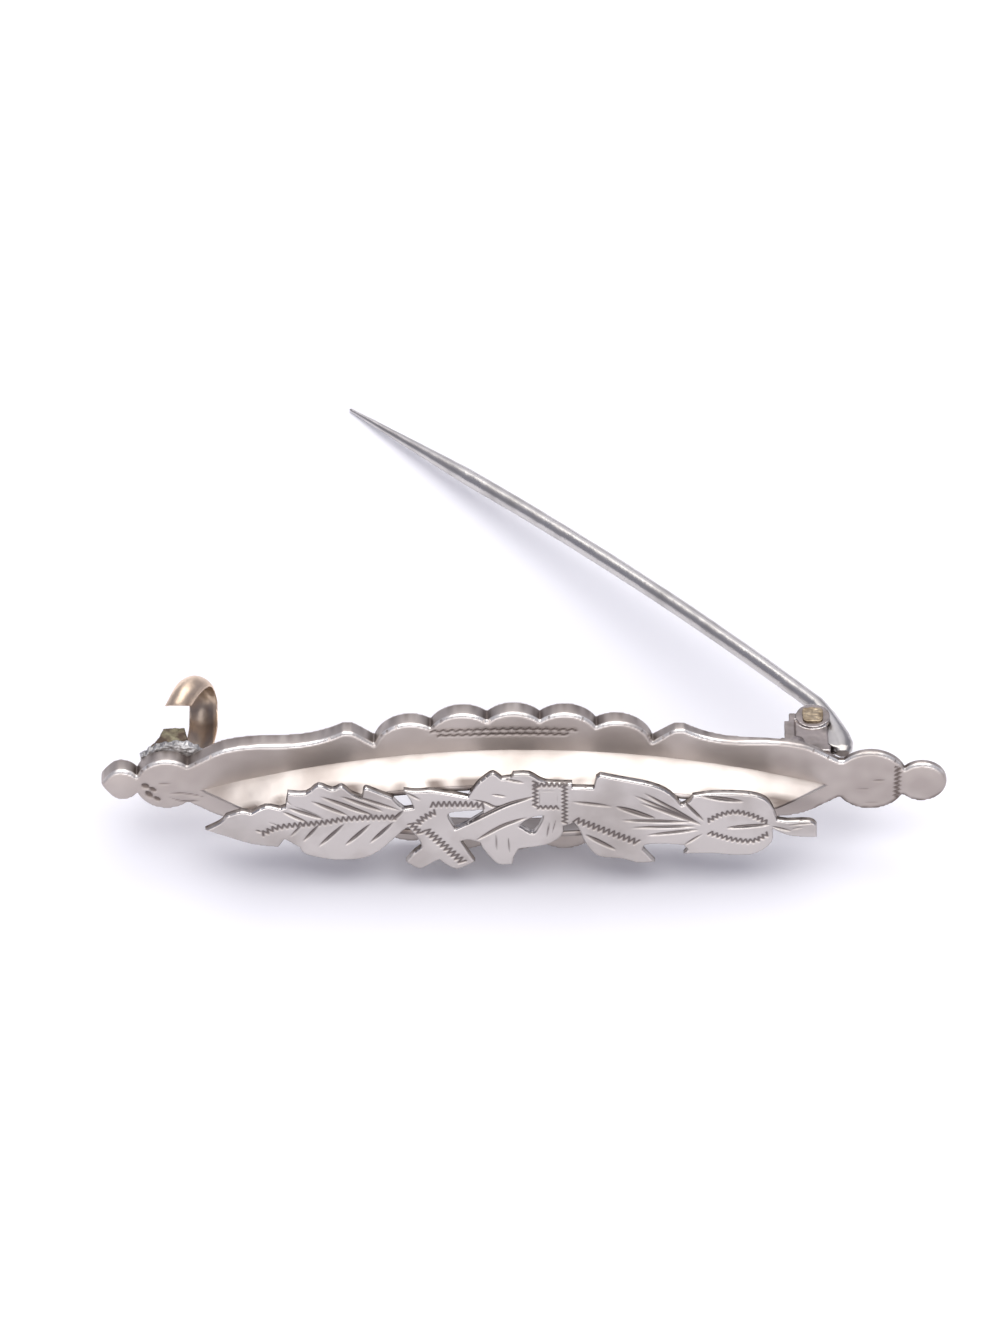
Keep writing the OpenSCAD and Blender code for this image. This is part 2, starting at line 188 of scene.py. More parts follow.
def lattice(loops, step):
    """A mesh of small squares that fills the outlines, with its edge snapped onto them.
    Returns the points, their depth inside the nearest outline, and the faces."""
    low = np.min([q.min(0) for q in loops], axis=0) - step
    high = np.max([q.max(0) for q in loops], axis=0) + step
    nx, ny = (np.ceil((high - low) / step)).astype(int) + 1
    gx, gy = np.meshgrid(np.arange(nx), np.arange(ny), indexing="ij")
    points = np.stack([low[0] + gx * step, low[1] + gy * step], -1).reshape(-1, 2)
    samples = np.vstack([dense(q) for q in loops])
    depth, at = nearest(points, samples)
    within = inside(points, loops)
    depth = np.where(within, depth, -depth)
    snapped = np.abs(depth) < 0.5 * step
    points[snapped] = samples[at[snapped]]
    used = depth > -0.5 * step
    depth[snapped] = 0
    corners = np.vstack([corners_of(q) for q in loops])
    rim = np.flatnonzero(snapped)
    if len(corners) and len(rim):
        gap, which = nearest(corners, points[rim])
        for c, g, w in zip(corners, gap, which):
            if g < 0.75 * step:
                points[rim[w]] = c
    index = np.arange(nx * ny).reshape(nx, ny)
    a, b, c, d = index[:-1, :-1], index[1:, :-1], index[1:, 1:], index[:-1, 1:]
    faces = []
    middles = []
    for q in np.stack([a, b, c, d], -1).reshape(-1, 4):
        kept = [i for i in q if used[i]]
        if len(kept) >= 3:
            faces.append(tuple(kept))
            middles.append(points[kept].mean(0))
    good = inside(np.array(middles), loops)
    flat_ring = [all(snapped[i] for i in f) for f in faces]
    faces = [f for f, g, s in zip(faces, good, flat_ring) if g or not s]
    keep = sorted({i for f in faces for i in f})
    renumber = {old: new for new, old in enumerate(keep)}
    faces = [tuple(renumber[i] for i in f) for f in faces]
    return points[keep], depth[keep], faces


NOTCH_TURN, NOTCH_SHADE_AND_GRIME = 25, 0.1


def notch_shade_and_grime(points, loop, reach):
    """Painted shade and grimy darkening, as an engraver's depth, near the notches of an outline that runs
    anticlockwise.
    """
    ahead = np.roll(loop, -1, axis=0) - loop
    behind = loop - np.roll(loop, 1, axis=0)
    turn = behind[:, 0] * ahead[:, 1] - behind[:, 1] * ahead[:, 0]
    sharp = np.degrees(np.arctan2(turn, (behind * ahead).sum(1)))
    area = (loop[:, 0] * np.roll(loop[:, 1], -1) - np.roll(loop[:, 0], -1) * loop[:, 1]).sum()
    notches = loop[sharp * np.sign(area) < -NOTCH_TURN]
    gap, _ = nearest(points, notches)
    patchy = 0.75 + 0.5 * uneven(points, 3.0, 11.0)
    return NOTCH_SHADE_AND_GRIME * np.exp(-(gap / reach) ** 2) * patchy


def open_edges(faces):
    """Directed edges that only one face uses."""
    directed = {(f[i], f[(i + 1) % len(f)]) for f in faces for i in range(len(f))}
    return [(a, b) for a, b in directed if (b, a) not in directed]


# engraving
ZIGZAG_WIDTH, ZIGZAG_DEPTH = 0.23, 0.075
CUT_DARKER, ZIGZAG_DARKER = 1.3, 1.9


def engrave(points, cuts, zigzags=()):
    """Depth in millimetres that the graver's cuts take out of each point, and how dark they look."""
    out = np.zeros(len(points))
    for path, width, deep in cuts:
        carve(out, points, curve_through(path), width, deep, taper=True)
    dark = CUT_DARKER * out
    for path, reach, pitch in zigzags:
        teeth = zigzag(curve_through(path), reach, pitch)
        for a, b in zip(teeth[:-1], teeth[1:]):
            carve(out, points, np.array((a, b)), ZIGZAG_WIDTH, ZIGZAG_DEPTH, taper=False)
            carve(dark, points, np.array((a, b)), ZIGZAG_WIDTH, ZIGZAG_DARKER * ZIGZAG_DEPTH, taper=False)
    return out, dark


def curve_through(path, pieces=8):
    """Points on a smooth line through the given ones."""
    p = np.array(path, float)
    if len(p) == 2:
        return p
    p = np.vstack([2 * p[0] - p[1], p, 2 * p[-1] - p[-2]])
    out = []
    for i in range(1, len(p) - 2):
        for t in np.arange(pieces) / pieces:
            a, b, c, d = p[i - 1:i + 3]
            out.append(0.5 * (2 * b + (c - a) * t + (2 * a - 5 * b + 4 * c - d) * t ** 2
                              + (3 * b - a - 3 * c + d) * t ** 3))
    return np.array(out + [p[-2]])


def carve(out, points, line, width, deep, taper):
    """Deepens out along a line: a V-shaped cut that, where taper is set, thins out at both ends."""
    low, high = line.min(0) - width, line.max(0) + width
    local = np.flatnonzero(((points >= low) & (points <= high)).all(1))
    if not len(local):
        return
    p = points[local]
    runs = np.linalg.norm(np.diff(line, axis=0), axis=1)
    total = runs.sum()
    done = 0.0
    gap = np.full(len(p), 9.0)
    share = np.zeros(len(p))
    for a, b, run in zip(line[:-1], line[1:], runs):
        t = np.clip((p - a) @ (b - a) / max(run * run, 1e-9), 0, 1)
        g = np.linalg.norm(p - a - t[:, None] * (b - a), axis=1)
        closer = g < gap
        gap[closer] = g[closer]
        share[closer] = (done + t[closer] * run) / total
        done += run
    form = np.sqrt(np.clip(4 * share * (1 - share), 0, 1)) if taper else 1.0
    half = width / 2 * form + 1e-6
    cut = deep * form * np.clip(1 - gap / half, 0, 1)
    out[local] = np.maximum(out[local], cut)


def zigzag(line, reach, pitch):
    """The corners of a zig-zag that reaches to both sides of a line."""
    runs = np.linalg.norm(np.diff(line, axis=0), axis=1)
    along = np.concatenate([[0], np.cumsum(runs)])
    count = max(2, int(round(along[-1] / pitch)))
    out = []
    for i in range(count + 1):
        s = along[-1] * i / count
        k = min(len(runs) - 1, int(np.searchsorted(along, s, side="right")) - 1)
        d = (line[k + 1] - line[k]) / runs[k]
        base = line[k] + d * (s - along[k])
        out.append(base + np.array((-d[1], d[0])) * reach * (1 if i % 2 else -1))
    return np.array(out)


# Cuts on the overlay: the graver's path in flat millimetres, the cut's width and its depth
LEAF_CUTS = [
    ([(-13.41, 0.43), (-11.21, -0.53)], 0.3, 0.13), ([(-13.74, 0.16), (-12.08, -0.85)], 0.26, 0.12),
    ([(-12.0, 0.91), (-9.76, -0.27)], 0.3, 0.13), ([(-11.46, 1.29), (-8.18, -0.34)], 0.34, 0.14),
    ([(-10.26, 1.28), (-7.68, 0.04)], 0.3, 0.13), ([(-9.68, 1.38), (-6.73, 0.14)], 0.26, 0.12),
    ([(-12.5, -2.27), (-11.46, -0.86)], 0.26, 0.12), ([(-11.59, -2.67), (-10.01, -0.87)], 0.3, 0.13),
    ([(-10.01, -2.58), (-8.47, -0.89)], 0.3, 0.13), ([(-8.55, -2.43), (-7.1, -0.74)], 0.28, 0.13),
    ([(-13.25, -1.88), (-12.5, -0.9)], 0.2, 0.1),
    ([(-13.37, 1.53), (-13.41, 0.98), (-13.08, 0.59)], 0.16, 0.08),
    ([(-13.08, 0.59), (-11.34, -0.36)], 0.16, 0.08), ([(-14.57, -0.66), (-13.66, -1.16)], 0.14, 0.07),
    ([(-15.32, -1.31), (-14.91, -1.53)], 0.2, 0.1), ([(-6.52, 0.13), (-7.27, -0.74)], 0.3, 0.12)]
RIBBON_CUTS = [
    ([(-6.48, 1.6), (-5.46, 0.89)], 0.2, 0.1), ([(-2.93, -1.13), (-0.63, 0.39), (1.33, 1.17)], 0.34, 0.16),
    ([(-2.29, -2.29), (-0.7, -1.16), (0.81, -0.48)], 0.3, 0.14),
    ([(-1.08, -1.76), (-1.04, -3.16)], 0.16, 0.09),
    ([(-0.36, -2.06), (-0.29, -3.31)], 0.16, 0.09), ([(2.09, -0.89), (1.9, -2.19)], 0.16, 0.09),
    ([(2.47, -0.69), (2.24, -1.79)], 0.14, 0.08),
    ([(-2.51, 0.96), (-1.68, 0.65), (-1.08, 0.34), (-0.25, 0.58)], 0.24, 0.12),
    ([(-0.63, 2.54), (0.65, 2.22)], 0.24, 0.1), ([(-1.38, 1.35), (-0.4, 1.14)], 0.2, 0.09),
    ([(1.52, 1.56), (2.54, 1.55)], 0.1, 0.05), ([(2.54, 1.55), (2.54, 0.35)], 0.1, 0.05),
    ([(2.54, 0.35), (1.52, 0.37)], 0.1, 0.05), ([(1.52, 0.37), (1.52, 1.56)], 0.1, 0.05)]
BUD_CUTS = [
    ([(7.6, 1.39), (11.13, -1.25)], 0.3, 0.13), ([(7.01, 1.2), (11.13, -1.25)], 0.3, 0.13),
    ([(7.4, 0.61), (11.13, -1.25)], 0.26, 0.12), ([(5.98, 0.31), (8.38, -0.7)], 0.44, 0.16),
    ([(6.32, -0.8), (10.45, -0.98)], 0.3, 0.13), ([(6.91, -1.39), (10.84, -1.31)], 0.28, 0.12),
    ([(7.85, -1.99), (10.94, -1.57)], 0.28, 0.12), ([(10.05, -2.79), (11.13, -1.9)], 0.2, 0.1),
    ([(4.17, -1.88), (6.03, -3.14)], 0.34, 0.14), ([(11.03, 1.03), (13.58, 0.61)], 0.4, 0.15),
    ([(12.51, -1.46), (15.15, -1.22)], 0.34, 0.14), ([(15.15, -1.35), (16.43, -1.76)], 0.2, 0.1),
    ([(16.14, -1.3), (17.8, -1.12)], 0.16, 0.08), ([(16.33, -1.63), (17.12, -1.44)], 0.14, 0.07),
    ([(3.38, 0.72), (5.83, 0.31)], 0.3, 0.1), ([(9.91, 0.78), (11.23, -0.92)], 0.26, 0.14),
    ([(13.09, -2.37), (14.17, -2.51), (15.15, -1.87)], 0.16, 0.07)]
# Zig-zag bands: the band's middle line, half its width and the pitch of its teeth
SPRAY_ZIGZAGS = [
    ([(-14.91, -1.64), (-13.83, -1.1), (-11.34, -0.8), (-9.68, -0.49), (-7.02, -0.41)], 0.17, 0.16),
    ([(-4.93, 0.54), (-4.02, 0.58), (-2.74, 0.56), (-1.76, 0.4)], 0.2, 0.16),
    ([(-4.63, -0.02), (-5.38, -0.51), (-5.76, -1.0)], 0.18, 0.15),
    ([(-6.14, -0.9), (-5.53, -1.71)], 0.16, 0.15),
    ([(-5.23, -1.41), (-3.04, -4.03)], 0.22, 0.16), ([(1.26, 2.32), (1.26, 0.32)], 0.14, 0.15),
    ([(1.18, 2.02), (3.15, 2.0)], 0.14, 0.15), ([(2.99, 2.1), (2.99, -1.0)], 0.14, 0.15),
    ([(1.41, 0.27), (2.62, 0.25)], 0.12, 0.15), ([(3.58, -0.71), (7.31, -2.57)], 0.2, 0.17),
    ([(11.43, -0.92), (12.21, -0.41), (13.19, -0.23), (14.17, -0.56), (14.96, -1.09)], 0.14, 0.15),
    ([(11.52, -1.83), (12.4, -2.2), (13.2, -2.45), (14.2, -2.5), (15.0, -1.95)], 0.14, 0.15)]
# Cuts and zig-zag bands on the plate itself, given in the same way
PLATE_CUTS = [
    ([(21.2, 0.0), (22.0, -0.02)], 0.16, 0.06), ([(20.0, -0.62), (21.1, -0.68)], 0.14, 0.05),
    ([(20.6, -1.8), (21.9, -1.82)], 0.16, 0.06), ([(-21.1, 0.2), (-20.2, 0.24)], 0.16, 0.06),
    ([(-20.7, -0.5), (-19.4, -0.62), (-18.1, -1.0)], 0.2, 0.07),
    ([(-20.6, -0.78), (-19.6, -1.22), (-18.3, -1.15)], 0.2, 0.07),
    ([(-22.05, 0.12), (-21.55, -0.12)], 0.5, 0.16), ([(-21.6, -0.1), (-21.15, -0.4)], 0.42, 0.14),
    ([(-21.8, -0.4), (-21.4, -0.9)], 0.5, 0.16), ([(-21.35, -0.8), (-20.9, -1.2)], 0.4, 0.14)]
PLATE_ZIGZAGS = [
    ([(-4.9, 4.08), (0.0, 4.2), (3.7, 4.1)], 0.07, 0.25),
    ([(-4.5, 3.74), (0.0, 3.84), (3.2, 3.76)], 0.06, 0.25), ([(22.72, 1.0), (22.66, -1.4)], 0.16, 0.16)]


def uneven(points, scale, seed):
    """Smooth noise from -1 to 1 at each flat point."""
    return np.array([noise.noise(Vector((p[0] * scale, p[1] * scale, seed))) for p in points])


def rounding(depth, radius):
    """How far a rounded edge falls below the face, at each depth inside the outline."""
    inner = np.clip(radius - depth, 0, radius)
    return radius - np.sqrt(radius ** 2 - inner ** 2)


NOTCH_REACH = 0.55


def slab(name, loops, step, front, back, wall, material, grime_and_shade=0.0, stains_and_shade=()):
    """A sheet with the given outlines: front and back give n at each point, and wall lists, from the front
    down, (share of the way to the back, how far it bulges out there, how much darker it is painted there).
    The outline's notches are painted darker too, as shade and grimy deposits, by the given strength."""
    points, depth, faces = lattice(loops, step)
    top, cut = front(points, depth)
    low = back(points, depth)
    count = len(points)
    edges = open_edges(faces)
    sides = {}
    for a, b in edges:
        d = points[b] - points[a]
        out = np.array((d[1], -d[0]))
        for i in (a, b):
            sides[i] = sides.get(i, np.zeros(2)) + out
    flat = [np.column_stack([points, top]), np.column_stack([points, low])]
    shades = [cut, np.zeros(count)]
    rim = sorted(sides)
    row = {v: i for i, v in enumerate(rim)}
    normals = np.array([sides[i] / max(np.linalg.norm(sides[i]), 1e-9) for i in rim])
    start = 2 * count
    # painted shade and grime in the outline's notches
    dirt_and_shade = notch_shade_and_grime(points[rim], loops[0], NOTCH_REACH) * grime_and_shade
    streaks = 0.7 + 0.9 * uneven(points[rim], 2.6, 6.0)
    # each wall ring is painted darker by its third entry, or by the notch shade and grime where that is darker
    for share, bulge, darkening in wall:
        n = top[rim] + (low[rim] - top[rim]) * share
        flat.append(np.column_stack([points[rim] + normals * bulge, n]))
        shades.append(np.maximum(dirt_and_shade, darkening * streaks))
    levels = len(wall)
    all_faces = list(faces) + [tuple(count + i for i in reversed(f)) for f in faces]
    for a, b in edges:
        column_a = [a] + [start + k * len(rim) + row[a] for k in range(levels)] + [count + a]
        column_b = [b] + [start + k * len(rim) + row[b] for k in range(levels)] + [count + b]
        for k in range(levels + 1):
            all_faces.append((column_b[k], column_a[k], column_a[k + 1], column_b[k + 1]))
    flat = np.vstack(flat)
    obj = object_from(name, place(flat), all_faces, material)
    cut = np.concatenate(shades)
    paint(obj, "cut", cut)
    # tarnish, and on the plate one patch of painted shade
    paint(obj, "tarnish_and_shade", stains_and_shade_on(flat, stains_and_shade))
    # painted highlight on the front edges that face up and forward
    rub_and_highlight_edges(obj, cut)
    return obj


def paint(obj, layer, values):
    """Stores a number for every vertex, which the material reads by the layer's name."""
    shade = obj.data.attributes.new(layer, "FLOAT", "POINT")
    shade.data.foreach_set("value", np.asarray(values, np.float32))


# Painted highlight: front edges whose normals face up and forward are mixed towards near-white, as worn silver
# catching the overhead lamp; less in the cuts
HIGHLIGHT_UP, HIGHLIGHT_AHEAD, HIGHLIGHT_FADE = 0.33, 0.15, 0.25
HIGHLIGHT_CUT, HIGHLIGHT_LEAST = 0.04, 0.12


def rub_and_highlight_edges(obj, cut):
    """Front edges that face up and forward get a painted highlight and count as worn bright, more in some
    places than in others, but not the cuts.
    """
    mesh = obj.data
    normals = np.zeros(len(mesh.vertices) * 3)
    mesh.vertex_normals.foreach_get("vector", normals)
    normals = normals.reshape(-1, 3)
    up, ahead = normals @ V_DIR, normals @ N_DIR
    rub_highlight = np.clip((up - HIGHLIGHT_UP) / HIGHLIGHT_FADE, 0, 1) * np.clip((ahead - HIGHLIGHT_AHEAD) / HIGHLIGHT_FADE, 0, 1)
    broken = np.clip(0.62 + 0.9 * uneven(lay(vertices_of(mesh)), 0.5, 7.0), 0.15, 1)
    paint(obj, "rub_highlight", rub_highlight * broken * np.clip(1 - cut / HIGHLIGHT_CUT, HIGHLIGHT_LEAST, 1))


def stains_and_shade_on(flat, stains_and_shade):
    """Tarnish, and painted shade laid on the same way, from 0 to 1: each patch is (x, v, reach along x, reach
    along v, strength).
    """
    out = np.zeros(len(flat))
    for x, v, reach_x, reach_v, strength in stains_and_shade:
        away = ((flat[:, 0] - x) / reach_x) ** 2 + ((flat[:, 1] - v) / reach_v) ** 2
        out = np.maximum(out, strength * np.exp(-away ** 1.5))
    return np.clip(out * (0.85 + 0.6 * uneven(flat, 1.1, 2.0)), 0, 1)


def join(target, *others):
    """Adds the others' meshes to the target's."""
    bpy.ops.object.select_all(action="DESELECT")
    for o in [target, *others]:
        o.select_set(True)
    bpy.context.view_layer.objects.active = target
    bpy.ops.object.join()
    return target


# materials
def node_material(name):
    """A new node material, its tree and its shader."""
    material = bpy.data.materials.new(name)
    material.use_nodes = True
    tree = material.node_tree
    return material, tree, tree.nodes["Principled BSDF"]


def noise_node(tree, scale, detail, rough=0.5, stretch=(1, 1, 1), turn=0.0):
    """Noise on the object's own coordinates, stretched along its axes and turned about its third."""
    coords = tree.nodes.new("ShaderNodeTexCoord")
    mapping = tree.nodes.new("ShaderNodeMapping")
    mapping.inputs["Scale"].default_value = stretch
    mapping.inputs["Rotation"].default_value = (0, 0, turn)
    tree.links.new(coords.outputs["Object"], mapping.inputs["Vector"])
    texture = tree.nodes.new("ShaderNodeTexNoise")
    texture.inputs["Scale"].default_value = scale
    texture.inputs["Detail"].default_value = detail
    texture.inputs["Roughness"].default_value = rough
    tree.links.new(mapping.outputs["Vector"], texture.inputs["Vector"])
    return texture.outputs["Fac"]


def ramp(tree, source, low, high, a, b):
    """Blends from colour a to colour b as source goes from low to high."""
    node = tree.nodes.new("ShaderNodeValToRGB")
    node.color_ramp.elements[0].position = low
    node.color_ramp.elements[1].position = high
    node.color_ramp.elements[0].color = (*a, 1)
    node.color_ramp.elements[1].color = (*b, 1)
    tree.links.new(source, node.inputs["Fac"])
    return node.outputs["Color"]


def mixed(tree, factor, a, b):
    """Blends a and b, each a colour or an output, by the factor."""
    node = tree.nodes.new("ShaderNodeMix")
    node.data_type = "RGBA"
    tree.links.new(factor, node.inputs["Factor"])
    for value, socket in ((a, node.inputs[6]), (b, node.inputs[7])):
        if hasattr(value, "is_linked"):
            tree.links.new(value, socket)
        else:
            socket.default_value = (*value, 1)
    return node.outputs[2]


def span(tree, source, low, high, to_low, to_high):
    """Maps the range from low to high onto the range from to_low to to_high."""
    node = tree.nodes.new("ShaderNodeMapRange")
    for key, value in (("From Min", low), ("From Max", high), ("To Min", to_low), ("To Max", to_high)):
        node.inputs[key].default_value = value
    tree.links.new(source, node.inputs["Value"])
    return node.outputs["Result"]


def bumped(tree, shader, heights):
    """Chains bump nodes: each height is (source, strength, distance in metres)."""
    normal = None
    for source, strength, distance in heights:
        node = tree.nodes.new("ShaderNodeBump")
        node.inputs["Strength"].default_value = strength
        node.inputs["Distance"].default_value = distance
        tree.links.new(source, node.inputs["Height"])
        if normal is not None:
            tree.links.new(normal, node.inputs["Normal"])
        normal = node.outputs["Normal"]
    tree.links.new(normal, shader.inputs["Normal"])


def layer_node(tree, layer):
    """Reads a number that paint has stored for every vertex."""
    node = tree.nodes.new("ShaderNodeAttribute")
    node.attribute_name = layer
    return node.outputs["Fac"]


# How the painted layers show: the painted highlight's colour on worn edges and their loss of roughness,
# tarnish's share and shade (the tarnish layer also carries painted shade), and the depth of cut at which
# grime and the painted shade kept in the cut layer start and are full, with their share
RUBBED_HIGHLIGHT, RUB_POLISH = (0.98, 0.96, 0.94), -0.16
TARNISH_SHARE, TARNISH_SHADE = 0.8, 0.9
GRIME_AND_SHADE_FROM, GRIME_AND_SHADE_FULL, GRIME_AND_SHADE_SHARE = 0.015, 0.1, 0.85
# The fine scratches and the shallow dents: noise scale, detail, bump strength and bump distance in metres
SCRATCH_SCALE, SCRATCH_DETAIL, SCRATCH_STRENGTH, SCRATCH_DISTANCE = 2600, 3, 0.25, 0.000012
DENT_SCALE, DENT_DETAIL, DENT_STRENGTH, DENT_DISTANCE = 700, 2, 0.35, 0.00006


def metal(name, clean, stained, rough, stain_scale, stain_at=(0.45, 0.7), grime_and_shade_colour=None, metallic=1.0):
    """Worn metal: stained patches, a painted highlight on worn edges, dark deposits in the cuts, and painted
    shade where the painted layers carry it; fine scratches and shallow dents. A dull old surface also
    scatters some light, which a metallic share below 1 stands for."""
    material, tree, shader = node_material(name)
    shader.inputs["Metallic"].default_value = metallic
    patches = noise_node(tree, stain_scale, 3, 0.5)
    colour = ramp(tree, patches, stain_at[0], stain_at[1], clean, stained)
    darker = tuple(TARNISH_SHADE * c for c in stained)
    colour = mixed(tree, span(tree, layer_node(tree, "tarnish_and_shade"), 0, 1, 0, TARNISH_SHARE), colour, darker)
    rub_highlight = layer_node(tree, "rub_highlight")
    # painted highlight on worn edges, which also lowers their roughness below
    colour = mixed(tree, rub_highlight, colour, RUBBED_HIGHLIGHT)
    if grime_and_shade_colour:
        # grime in the cuts, and painted shade carried in the cut layer
        grime_and_shade = span(tree, layer_node(tree, "cut"), GRIME_AND_SHADE_FROM, GRIME_AND_SHADE_FULL, 0, GRIME_AND_SHADE_SHARE)
        colour = mixed(tree, grime_and_shade, colour, grime_and_shade_colour)
    tree.links.new(colour, shader.inputs["Base Color"])
    dull = span(tree, patches, 0.3, 0.75, rough[0], rough[1])
    polish = tree.nodes.new("ShaderNodeMath")
    polish.operation = "MULTIPLY_ADD"
    tree.links.new(rub_highlight, polish.inputs[0])
    polish.inputs[1].default_value = RUB_POLISH
    tree.links.new(dull, polish.inputs[2])
    tree.links.new(polish.outputs["Value"], shader.inputs["Roughness"])
    scratches = noise_node(tree, SCRATCH_SCALE, SCRATCH_DETAIL, 0.6, stretch=(0.12, 1, 1), turn=0.35)
    dents = noise_node(tree, DENT_SCALE, DENT_DETAIL)
    bumped(tree, shader, [(dents, DENT_STRENGTH, DENT_DISTANCE),
                          (scratches, SCRATCH_STRENGTH, SCRATCH_DISTANCE)])
    return material


# Each metal: clean colour, stained colour, least and most roughness, and the stains' noise scale
PLATE_SILVER = metal("plate_silver", (0.475, 0.425, 0.398), (0.385, 0.335, 0.312), (0.36, 0.48),
                     stain_scale=180, grime_and_shade_colour=(0.09, 0.065, 0.055), metallic=0.72)
RING_SILVER = metal("ring_silver", (0.68, 0.635, 0.605), (0.5, 0.44, 0.405), (0.3, 0.45),
                    stain_scale=260, stain_at=(0.4, 0.7), grime_and_shade_colour=(0.09, 0.065, 0.055))
SPRAY_SILVER = metal("spray_silver", (0.53, 0.495, 0.475), (0.41, 0.375, 0.355), (0.28, 0.4),
                     stain_scale=320, grime_and_shade_colour=(0.1, 0.08, 0.075))
SOLDER = metal("grey_solder", (0.58, 0.57, 0.565), (0.24, 0.232, 0.232), (0.45, 0.7), stain_scale=900)
GILT = metal("rose_gilt", (0.9, 0.71, 0.53), (0.6, 0.48, 0.38), (0.3, 0.46), stain_scale=600,
             grime_and_shade_colour=(0.29, 0.245, 0.22))
OLIVE_GILT = metal("olive_gilt", (0.31, 0.285, 0.19), (0.12, 0.088, 0.068), (0.35, 0.55), stain_scale=900,
                   stain_at=(0.42, 0.6))
HINGE_SILVER = metal("hinge_silver", (0.36, 0.315, 0.3), (0.21, 0.185, 0.17), (0.3, 0.45), stain_scale=700)
RIVET_BRASS = metal("rivet_brass", (0.46, 0.375, 0.265), (0.22, 0.165, 0.11), (0.3, 0.5), stain_scale=1200)
PIN_STEEL = metal("pin_steel", (0.63, 0.605, 0.58), (0.45, 0.43, 0.41), (0.24, 0.36), stain_scale=400,
                  grime_and_shade_colour=(0.12, 0.1, 0.09))


# the struck plate and its ring
# Stains: x, v, reach along x, reach along v and strength. On the plate the patch at (16.4, -1.9) is
# painted shade: the look of the ring's lower bevel in shade, painted below the ring's right tip.
PLATE_STAINS_AND_SHADE = [(21.2, -0.2, 3.0, 2.4, 1.0), (24.3, -0.3, 1.6, 1.5, 1.0),
                (-20.5, -0.1, 2.2, 2.2, 0.8), (0.0, 4.0, 12.0, 1.6, 0.2),
                (16.4, -1.9, 2.4, 0.8, 1.0), (16.2, 1.2, 2.6, 1.4, 0.9), (9.2, 2.8, 2.8, 1.1, 0.5)]
RING_STAINS = [(-15.2, 0.4, 2.6, 2.6, 0.7), (-11.2, 1.1, 2.0, 0.9, 0.7), (0.6, 2.3, 2.6, 0.35, 0.8),
               (3.9, 1.9, 1.2, 0.3, 0.5), (15.6, 0.9, 1.7, 0.5, 0.9), (-6.4, 1.9, 1.4, 0.4, 0.5),
               (9.5, 1.6, 1.5, 0.35, 0.35)]
# The end lobes' domes: x, v, radius and height
LEFT_TIP = (-23.25, 0.0, 1.15, 0.14)
LOBES = [(-20.55, 0.0, 1.85, 0.07), LEFT_TIP, (21.1, -0.15, 2.2, 0.05), (24.15, -0.3, 1.45, 0.1)]
TIP_NARROWS, TIP_RISES = 0.6, 0.1
FRONT_ROUND, BACK_ROUND, WAVES = 0.16, 0.14, 0.012
RIM_LIP, RIM_FADE = 0.3, 0.32
# Painted shade and grime along the plate's lower right edge, where its rounding turns down
EDGE_SHADE_AND_GRIME, EDGE_SHADE_REACH = 0.13, 0.24
DARK_EDGE_X, DARK_EDGE_X_FADE, DARK_EDGE_V, DARK_EDGE_V_FADE = 17.5, 0.8, -0.7, 0.5
# PLATE_NOTCHES: strength of the painted shade and grime in the rim's notches
HOLE_INSET, PLATE_STEP, PLATE_NOTCHES = 0.22, 0.11, 1.5
# The rim wall is painted darker towards its back.
PLATE_WALL = [(0.12, 0.012, 0.015), (0.35, 0.018, 0.037), (0.6, 0.02, 0.047), (0.9, 0.012, 0.065)]


def lens_points(inset, count):
    """The pointed ring's outline at an inset, as two arcs that meet at its tips."""
    radius = RING_R - inset
    half = math.sqrt(radius ** 2 - RING_C ** 2)
    reach = math.asin(half / radius)
    angles = np.linspace(-reach, reach, count + 1)[:-1]
    upper = np.column_stack([radius * np.sin(angles), radius * np.cos(angles) - RING_C])
    lower = -upper
    return np.vstack([upper, lower]) - (0, RING_DROP)


def plate_front(points, depth):
    """The struck face: domed lobes, slight waves and the graver's cuts, with painted shade and grimy darkening
    along its lower right edge.
    """
    n = -rounding(depth, FRONT_ROUND)
    for x, v, radius, dome in LOBES:
        rho = np.hypot(points[:, 0] - x, points[:, 1] - v) / radius
        n += dome * np.clip(1 - rho ** 2, 0, 1) ** 1.5
    n += WAVES * uneven(points, 0.9, 3.0) * np.clip(depth / 0.3, 0, 1)
    cut, dark = engrave(points, PLATE_CUTS, PLATE_ZIGZAGS)
    # painted shade and grime along the lower right edge
    lower_right = np.clip((points[:, 0] - DARK_EDGE_X) / DARK_EDGE_X_FADE, 0, 1)
    lower_right *= np.clip((DARK_EDGE_V - points[:, 1]) / DARK_EDGE_V_FADE, 0, 1)
    grime_and_shade = EDGE_SHADE_AND_GRIME * np.exp(-(depth / EDGE_SHADE_REACH) ** 2) * lower_right
    grime_and_shade *= 0.9 + 0.8 * uneven(points, 2.2, 9.0)
    return n - cut, np.maximum(dark, grime_and_shade)


def plate_back(points, depth):
    """The rim is turned back along the outer outline only, and fades into the sheet inside it."""
    from_rim, _ = nearest(points, dense(OUTLINE))
    reach = np.clip((points[:, 0] - RIM_FULL_X) / (RIM_END_X - RIM_FULL_X), 0, 1)
    rim = RIM_DEPTH + (SHEET - RIM_DEPTH) * reach
    share = np.clip((from_rim - RIM_LIP) / RIM_FADE, 0, 1)
    share = share * share * (3 - 2 * share)
    return -(rim + (SHEET - rim) * share - rounding(from_rim, BACK_ROUND) * (rim > SHEET + 0.1))


